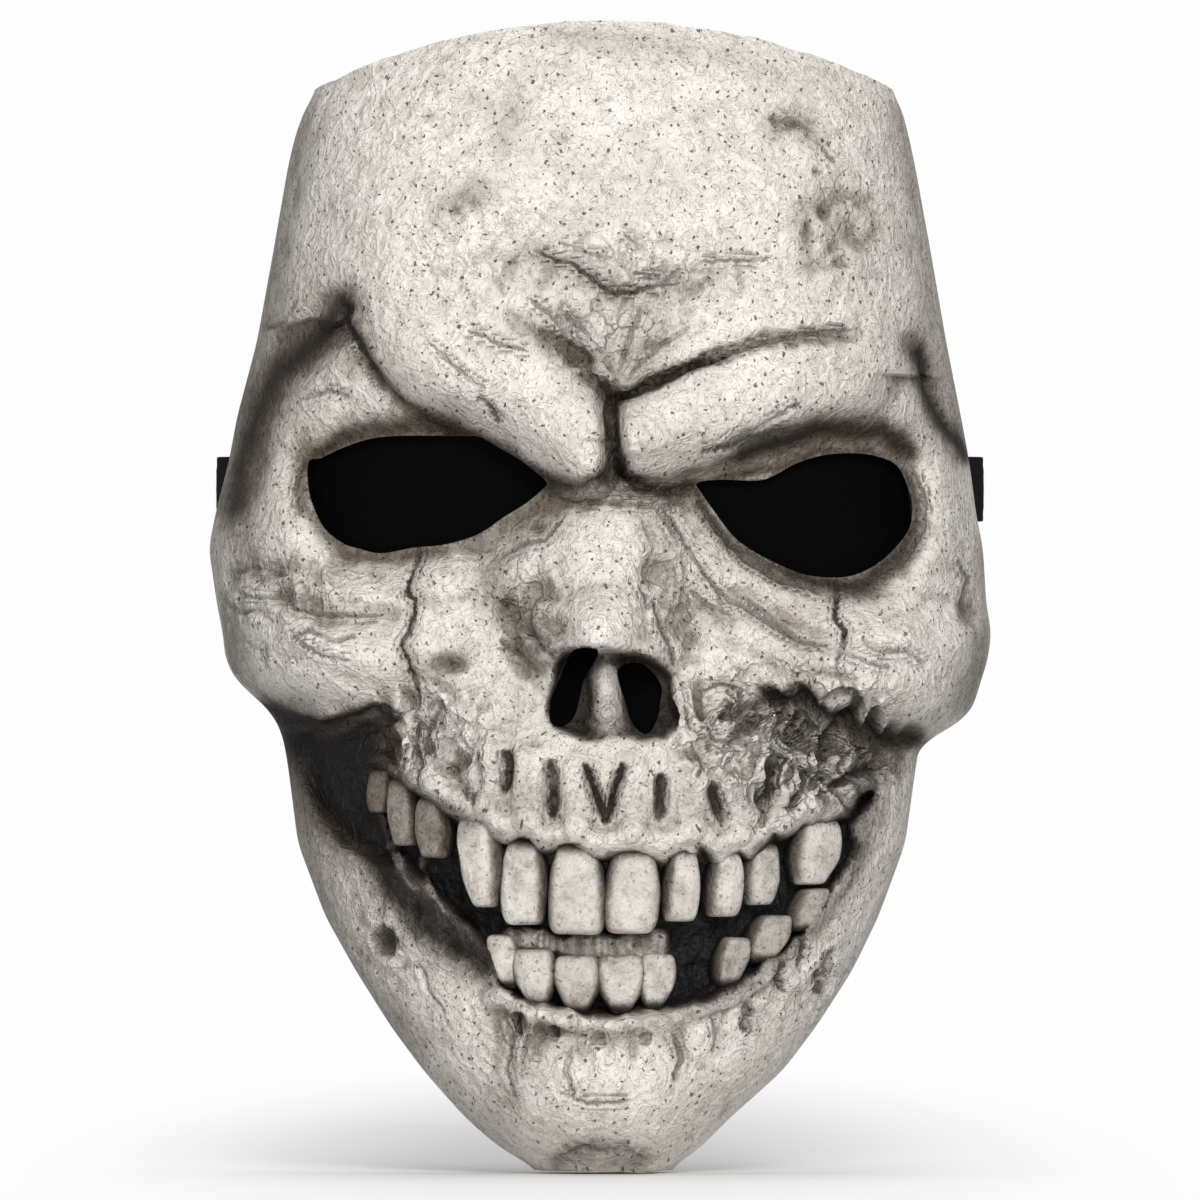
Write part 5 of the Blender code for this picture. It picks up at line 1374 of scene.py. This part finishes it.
def mix_colour(tree, share, first, second, way="MIX"):
    """Two colours mixed by a share."""
    node = tree.nodes.new("ShaderNodeMix")
    node.data_type = "RGBA"
    node.blend_type = way
    node.clamp_factor = True
    for socket, value in ((node.inputs[0], share), (node.inputs[6], first), (node.inputs[7], second)):
        if isinstance(value, bpy.types.NodeSocket):
            tree.links.new(value, socket)
        else:
            socket.default_value = value
    return node.outputs[2]


def smooth_range(tree, value, low, high, start, end):
    """A value mapped with an S-curve from low..high to start..end."""
    node = add_node(tree, "ShaderNodeMapRange", {"interpolation_type": "SMOOTHSTEP"})
    for number, given in enumerate((value, low, high, start, end)):
        if isinstance(given, bpy.types.NodeSocket):
            tree.links.new(given, node.inputs[number])
        else:
            node.inputs[number].default_value = given
    return node.outputs[0]


def new_group(name, inputs, outputs):
    """A shader node group with named sockets, its input node and its output node."""
    group = bpy.data.node_groups.new(name, "ShaderNodeTree")
    for label, kind in inputs:
        group.interface.new_socket(name=label, in_out="INPUT", socket_type=kind)
    for label, kind in outputs:
        group.interface.new_socket(name=label, in_out="OUTPUT", socket_type=kind)
    return group, group.nodes.new("NodeGroupInput"), group.nodes.new("NodeGroupOutput")


def make_pore_group():
    """Dark pores: spots in some of the cells of a bent Voronoi pattern, each of its own size."""
    group, given, result = new_group(
        "bone_pores",
        (("Skin", "NodeSocketVector"), ("Scale", "NodeSocketFloat"), ("Size", "NodeSocketFloat"),
         ("Share", "NodeSocketFloat")),
        (("Mask", "NodeSocketFloat"),))
    warp = add_node(group, "ShaderNodeTexNoise", None, Vector=given.outputs["Skin"], Scale=900.0, Detail=1.0)
    shift = add_node(group, "ShaderNodeVectorMath", {"operation": "MULTIPLY_ADD"}, _0=warp.outputs["Color"],
                     _1=(0.0016, 0.0016, 0.0), _2=given.outputs["Skin"])
    cells = add_node(group, "ShaderNodeTexVoronoi", {"feature": "F1", "voronoi_dimensions": "2D"},
                     Vector=shift.outputs[0], Scale=given.outputs["Scale"])
    parts = add_node(group, "ShaderNodeSeparateColor", Color=cells.outputs["Color"])
    size = math_node(group, "MULTIPLY_ADD", parts.outputs[0], given.outputs["Size"],
                     math_node(group, "MULTIPLY", given.outputs["Size"], 0.4))
    inner = math_node(group, "MULTIPLY", size, 0.35)
    spot = smooth_range(group, cells.outputs["Distance"], inner, size, 1.0, 0.0)
    present = math_node(group, "LESS_THAN", parts.outputs[1], given.outputs["Share"])
    group.links.new(math_node(group, "MULTIPLY", spot, present), result.inputs["Mask"])
    return group


def make_crack_group():
    """Cracks in rotten bone: the edges between warped Voronoi cells, thinner and thicker by noise."""
    group, given, result = new_group(
        "rot_cracks",
        (("Position", "NodeSocketVector"), ("Scale", "NodeSocketFloat"), ("Width", "NodeSocketFloat")),
        (("Mask", "NodeSocketFloat"),))
    warp = add_node(group, "ShaderNodeTexNoise", None, Vector=given.outputs["Position"], Scale=260.0,
                    Detail=3.0)
    shift = add_node(group, "ShaderNodeVectorMath", {"operation": "MULTIPLY_ADD"}, _0=warp.outputs["Color"],
                     _1=(0.0060, 0.0060, 0.0060), _2=given.outputs["Position"])
    cells = add_node(group, "ShaderNodeTexVoronoi", {"feature": "DISTANCE_TO_EDGE"}, Vector=shift.outputs[0],
                     Scale=given.outputs["Scale"])
    width = math_node(group, "MULTIPLY", warp.outputs[0], given.outputs["Width"])
    mask = smooth_range(group, cells.outputs["Distance"], 0.0, width, 1.0, 0.0)
    group.links.new(mask, result.inputs["Mask"])
    return group


def make_paint_group(pores, cracks):
    """Aged paint over moulded bone: mottled bone with hairlines, brown wash, black, pores and cracks.

    Crease holds the offset from the nearest crease, its half width and its black. The groove is black and
    sharp, with a wider brown halo. Height falls in pores, cracks, hairlines and grooves.
    """
    group, given, result = new_group(
        "aged_paint",
        (("Position", "NodeSocketVector"), ("Skin", "NodeSocketVector"), ("Wash", "NodeSocketFloat"),
         ("Soot", "NodeSocketFloat"), ("Rot", "NodeSocketFloat"), ("Crease", "NodeSocketVector"),
         ("Pores", "NodeSocketFloat")),
        (("Color", "NodeSocketColor"), ("Roughness", "NodeSocketFloat"), ("Height", "NodeSocketFloat")))
    position = given.outputs["Position"]
    cloud, fleck, grit = (
        add_node(group, "ShaderNodeTexNoise", None, Vector=position, Scale=scale, Detail=detail,
                 Roughness=roughness).outputs[0]
        for scale, detail, roughness in ((70.0, 3.0, 0.6), (520.0, 3.0, 0.65), (1500.0, 1.0, 0.6)))
    crinkle = add_node(group, "ShaderNodeTexNoise", {"noise_type": "RIDGED_MULTIFRACTAL"}, Vector=position,
                       Scale=210.0, Detail=3.0, Roughness=0.55, Lacunarity=2.1, Offset=0.9, Gain=1.6,
                       Distortion=0.7).outputs[0]
    fold = smooth_range(group, crinkle, 0.2, 1.5, 0.0, 1.0)
    swirl = add_node(group, "ShaderNodeTexNoise", None, Vector=position, Scale=430.0, Detail=1.5,
                     Roughness=0.5, Distortion=1.3).outputs[0]
    away = math_node(group, "ABSOLUTE", math_node(group, "SUBTRACT", swirl, 0.5))
    hair = math_node(group, "MULTIPLY", smooth_range(group, away, 0.0, 0.034, 1.0, 0.0),
                     smooth_range(group, fleck, 0.36, 0.62, 0.15, 1.0))
    crease = add_node(group, "ShaderNodeSeparateXYZ", None, Vector=given.outputs["Crease"])
    offset = math_node(group, "SUBTRACT", fleck, 0.5)
    offset = math_node(group, "MULTIPLY_ADD", offset, CREASE_WOBBLE, crease.outputs[0])
    offset = math_node(group, "ABSOLUTE", offset)
    width = crease.outputs[1]
    groove = smooth_range(group, offset, math_node(group, "MULTIPLY", width, 0.30), width, 1.0, 0.0)
    groove = math_node(group, "MULTIPLY", groove, crease.outputs[2])
    groove = math_node(group, "MULTIPLY", groove, smooth_range(group, cloud, 0.30, 0.52, 0.45, 1.0))
    halo = smooth_range(group, offset, 0.0, math_node(group, "MULTIPLY", width, 2.4), 1.0, 0.0)
    halo = math_node(group, "MULTIPLY", halo, crease.outputs[2])
    bone = mix_colour(group, smooth_range(group, cloud, 0.35, 0.68, 0.0, 1.0), BONE_LIGHT, BONE_MID)
    bone = mix_colour(group, math_node(group, "MULTIPLY", hair, 0.72), bone, BONE_SPECK)
    bone = mix_colour(group, smooth_range(group, fleck, 0.52, 0.80, 0.0, 0.34), bone, BONE_SPECK)
    small, large = (
        add_node(group, "ShaderNodeGroup", {"node_tree": pores}, Skin=given.outputs["Skin"], Scale=scale,
                 Size=size, Share=share).outputs[0]
        for scale, size, share in ((330.0, 0.115, 0.62), (150.0, 0.058, 0.75)))
    pore = math_node(group, "MAXIMUM", small, large)
    pore = math_node(group, "MULTIPLY", pore, given.outputs["Pores"])
    crack = add_node(group, "ShaderNodeGroup", {"node_tree": cracks}, Position=position, Scale=120.0,
                     Width=0.16).outputs[0]
    crack = math_node(group, "MULTIPLY", crack, given.outputs["Rot"])
    wash = given.outputs["Wash"]
    swing = math_node(group, "MULTIPLY", math_node(group, "SUBTRACT", 1.0, wash), wash)
    uneven = math_node(group, "MULTIPLY", math_node(group, "SUBTRACT", fleck, 0.5), 1.5)
    uneven = math_node(group, "MULTIPLY_ADD", math_node(group, "SUBTRACT", grit, 0.5), 1.2, uneven)
    uneven = math_node(group, "MULTIPLY_ADD", math_node(group, "SUBTRACT", 0.5, fold), 0.4, uneven)
    laid = add_node(group, "ShaderNodeMath", {"operation": "MULTIPLY_ADD", "use_clamp": True},
                    _0=uneven, _1=swing, _2=wash).outputs[0]
    seam = smooth_range(group, fold, 0.26, 0.0, 0.0, 0.16)
    seam = math_node(group, "MULTIPLY", seam, given.outputs["Pores"])
    laid = math_node(group, "MAXIMUM", laid, seam)
    laid = math_node(group, "MAXIMUM", laid, math_node(group, "MULTIPLY", crack, 0.55))
    laid = math_node(group, "MAXIMUM", laid, math_node(group, "MULTIPLY", halo, 0.55))
    laid = math_node(group, "MAXIMUM", laid, groove)
    washed = mix_colour(group, laid, bone, WASH_BROWN)
    washed = mix_colour(group, math_node(group, "MULTIPLY", pore, 0.82), washed, PORE_BROWN)
    soot = given.outputs["Soot"]
    soot_swing = math_node(group, "MULTIPLY", math_node(group, "SUBTRACT", 1.0, soot), soot)
    black = add_node(group, "ShaderNodeMath", {"operation": "MULTIPLY_ADD", "use_clamp": True},
                     _0=math_node(group, "MULTIPLY", uneven, 0.8), _1=soot_swing, _2=soot).outputs[0]
    black = math_node(group, "MAXIMUM", black, math_node(group, "MULTIPLY", crack, 0.22))
    bottom = math_node(group, "POWER", groove, 2.0)
    black = math_node(group, "MAXIMUM", black, math_node(group, "MULTIPLY", bottom, 0.85))
    colour = mix_colour(group, black, washed, SOOT_BLACK)
    group.links.new(colour, result.inputs["Color"])
    rough = math_node(group, "MULTIPLY_ADD", fleck, 0.20, 0.40)
    group.links.new(math_node(group, "MULTIPLY_ADD", laid, 0.12, rough), result.inputs["Roughness"])
    height = math_node(group, "MULTIPLY_ADD", fold, 0.42, math_node(group, "MULTIPLY", fleck, 0.75))
    height = math_node(group, "MULTIPLY_ADD", pore, -0.8, height)
    height = math_node(group, "MULTIPLY_ADD", crack, -1.1, height)
    height = math_node(group, "MULTIPLY_ADD", hair, -0.22, height)
    height = math_node(group, "MULTIPLY_ADD", groove, -0.90, height)
    height = math_node(group, "MULTIPLY_ADD", halo, -0.65, height)
    height = math_node(group, "MULTIPLY_ADD", grit, 0.15, height)
    group.links.new(height, result.inputs["Height"])
    return group


def make_bone_paint(name, group, pores, bump):
    """Painted bone: aged paint laid by the piece's own wash, soot and rot, and a plain liner behind. The wash
    and soot carry painted shade and highlight as well as paint.
    """
    material, tree, shader = new_material(name)
    position = add_node(tree, "ShaderNodeTexCoord").outputs["Object"]
    given = {label: add_node(tree, "ShaderNodeAttribute", {"attribute_name": label.lower()}).outputs["Fac"]
             for label in ("Wash", "Soot", "Rot", "Made")}
    liner = smooth_range(tree, given.pop("Made"), 0.4, 0.9, 0.0, 1.0)
    skin, crease = (add_node(tree, "ShaderNodeAttribute", {"attribute_name": label}).outputs["Vector"]
                    for label in ("skin", "crease"))
    paint_node = add_node(tree, "ShaderNodeGroup", {"node_tree": group}, Position=position, Skin=skin,
                          Crease=crease, Pores=pores, **given)
    colour = mix_colour(tree, liner, LINER_GREY, paint_node.outputs["Color"])
    tree.links.new(colour, shader.inputs["Base Color"])
    tree.links.new(paint_node.outputs["Roughness"], shader.inputs["Roughness"])
    relief = add_node(tree, "ShaderNodeBump", None, Strength=bump, Distance=0.0013,
                      Height=paint_node.outputs["Height"])
    tree.links.new(relief.outputs[0], shader.inputs["Normal"])
    shader.inputs["Specular IOR Level"].default_value = 0.32
    return material


def make_weave_group():
    """Plain weave over a UV map in metres: threads that rise and dip over each other in both directions."""
    group, given, result = new_group(
        "thread_weave",
        (("Along", "NodeSocketFloat"), ("Across", "NodeSocketFloat")),
        (("Height", "NodeSocketFloat"), ("Fleck", "NodeSocketFloat")))
    coordinates = add_node(group, "ShaderNodeUVMap", {"uv_map": "weave"}).outputs[0]
    parts = add_node(group, "ShaderNodeSeparateXYZ", None, Vector=coordinates)
    u = math_node(group, "MULTIPLY", parts.outputs[0], given.outputs["Along"])
    v = math_node(group, "MULTIPLY", parts.outputs[1], given.outputs["Across"])
    first = math_node(group, "SINE", math_node(group, "MULTIPLY", u, 2 * math.pi))
    second = math_node(group, "SINE", math_node(group, "MULTIPLY", v, 2 * math.pi))
    group.links.new(math_node(group, "MULTIPLY", first, second), result.inputs["Height"])
    lint = add_node(group, "ShaderNodeTexNoise", None, Vector=coordinates, Scale=900.0, Detail=2.0)
    group.links.new(lint.outputs[0], result.inputs["Fleck"])
    return group


def make_cloth(name, weave, along, across, dark, light, bump, gloss):
    """Woven cloth: two dark tones by its threads, with their height as relief."""
    material, tree, shader = new_material(name)
    threads = add_node(tree, "ShaderNodeGroup", {"node_tree": weave}, Along=along, Across=across)
    share = smooth_range(tree, threads.outputs["Height"], -0.6, 0.8, 0.0, 0.7)
    fleck = math_node(tree, "MULTIPLY_ADD", threads.outputs["Fleck"], 1.2, 0.3)
    share = math_node(tree, "MULTIPLY", share, fleck)
    tree.links.new(mix_colour(tree, share, dark, light), shader.inputs["Base Color"])
    rough = math_node(tree, "MULTIPLY_ADD", threads.outputs["Fleck"], 0.25, 0.62)
    tree.links.new(rough, shader.inputs["Roughness"])
    relief = add_node(tree, "ShaderNodeBump", None, Strength=bump, Distance=0.0003,
                      Height=threads.outputs["Height"])
    tree.links.new(relief.outputs[0], shader.inputs["Normal"])
    shader.inputs["Specular IOR Level"].default_value = gloss
    return material


# Studio
def make_floor():
    """A plain pale floor: a disc that fades out away from the mask, soonest to its sides."""
    rings = np.concatenate([[0.0], np.geomspace(0.02, 1.6, 40)])
    around = np.linspace(0.0, 2 * math.pi, 96, endpoint=False)
    radius, angle = np.meshgrid(rings, around, indexing="ij")
    points = np.stack([radius * np.cos(angle), radius * np.sin(angle) + 0.1,
                       np.full(radius.shape, FLOOR_LEVEL)], axis=-1)
    index = np.arange(points.shape[0] * points.shape[1]).reshape(points.shape[:2])
    wrapped = np.concatenate([index, index[:, :1]], axis=1)
    mesh = bpy.data.meshes.new("studio_floor")
    mesh.from_pydata(points.reshape(-1, 3).tolist(), [], grid_faces(wrapped)[:, ::-1].tolist())
    mesh.validate()
    material, tree, shader = new_material("studio_white")
    position = add_node(tree, "ShaderNodeTexCoord").outputs["Object"]
    squeezed = add_node(tree, "ShaderNodeVectorMath", {"operation": "MULTIPLY"}, _0=position,
                        _1=(7.0, 0.7, 0.0)).outputs[0]
    length = add_node(tree, "ShaderNodeVectorMath", {"operation": "LENGTH"}, _0=squeezed).outputs["Value"]
    tree.links.new(smooth_range(tree, length, 0.15, 1.05, 1.0, 0.0), shader.inputs["Alpha"])
    shader.inputs["Base Color"].default_value = FLOOR_WHITE
    shader.inputs["Roughness"].default_value = 0.9
    mesh.materials.append(material)
    floor = bpy.data.objects.new("studio_floor", mesh)
    bpy.context.scene.collection.objects.link(floor)
    return floor


def add_lamp(lamp):
    """A square soft lamp at its place, turned to its aim."""
    data = bpy.data.lights.new(lamp.name, "AREA")
    data.size = lamp.size
    data.energy = lamp.power
    thing = bpy.data.objects.new(lamp.name, data)
    bpy.context.scene.collection.objects.link(thing)
    thing.location = lamp.place
    thing.rotation_mode = "QUATERNION"
    thing.rotation_quaternion = (Vector(lamp.aim) - Vector(lamp.place)).to_track_quat("-Z", "Y")


def make_studio():
    """White all round for the camera, softer for the object, and three soft lamps."""
    world = bpy.data.worlds.new("studio")
    bpy.context.scene.world = world
    world.use_nodes = True
    tree = world.node_tree
    tree.nodes.clear()
    seen = add_node(tree, "ShaderNodeBackground", None, Color=(1.0, 1.0, 1.0, 1.0), Strength=BACKDROP_STRENGTH)
    felt = add_node(tree, "ShaderNodeBackground", None, Color=(1.0, 1.0, 1.0, 1.0), Strength=WORLD_STRENGTH)
    path = add_node(tree, "ShaderNodeLightPath")
    both = add_node(tree, "ShaderNodeMixShader", None, _0=path.outputs["Is Camera Ray"], _1=felt.outputs[0],
                    _2=seen.outputs[0])
    result = tree.nodes.new("ShaderNodeOutputWorld")
    tree.links.new(both.outputs[0], result.inputs[0])
    for lamp in LAMPS:
        add_lamp(lamp)


def make_camera():
    """The camera, level with the face and far from it, for a square frame."""
    data = bpy.data.cameras.new("camera")
    data.sensor_width = 36.0
    data.lens = CAMERA_LENS
    camera = bpy.data.objects.new("camera", data)
    bpy.context.scene.collection.objects.link(camera)
    camera.location = (CAMERA_ACROSS, -CAMERA_DISTANCE, CAMERA_HEIGHT)
    camera.rotation_euler = (math.pi / 2, 0.0, 0.0)
    data.clip_end = 60.0
    bpy.context.scene.camera = camera
    bpy.context.scene.view_settings.view_transform = "Standard"
    bpy.context.scene.view_settings.look = "None"


make_camera()
make_studio()
make_floor()
pores = make_pore_group()
aged_paint = make_paint_group(pores, make_crack_group())
bone_paint = make_bone_paint("painted_bone", aged_paint, 1.0, 0.80)
tooth_paint = make_bone_paint("painted_teeth", aged_paint, 0.60, 0.50)
weave = make_weave_group()
gauze_cloth = make_cloth("black_gauze", weave, 900.0, 900.0, GAUZE_BLACK, GAUZE_THREAD, 0.4, 0.02)
elastic_cloth = make_cloth("black_elastic", weave, 700.0, 1100.0, ELASTIC_BLACK, ELASTIC_THREAD, 0.6, 0.10)
tab_cloth = make_cloth("tab_cloth", weave, 1400.0, 1400.0, TAB_BLACK, TAB_THREAD, 0.6, 0.15)
make_shell(bone_paint)
make_teeth("upper_teeth", UPPER_TEETH, True, tooth_paint)
make_teeth("lower_teeth", LOWER_TEETH, False, tooth_paint)
for node in ("eye_gauze_left", "eye_gauze_right", "nose_gauze"):
    make_gauze(node, gauze_cloth)
make_strap(elastic_cloth)
make_tab("sewn_tab_left", -1, "strap_tab_left", tab_cloth)
make_tab("sewn_tab_right", 1, "strap_tab_right", tab_cloth)
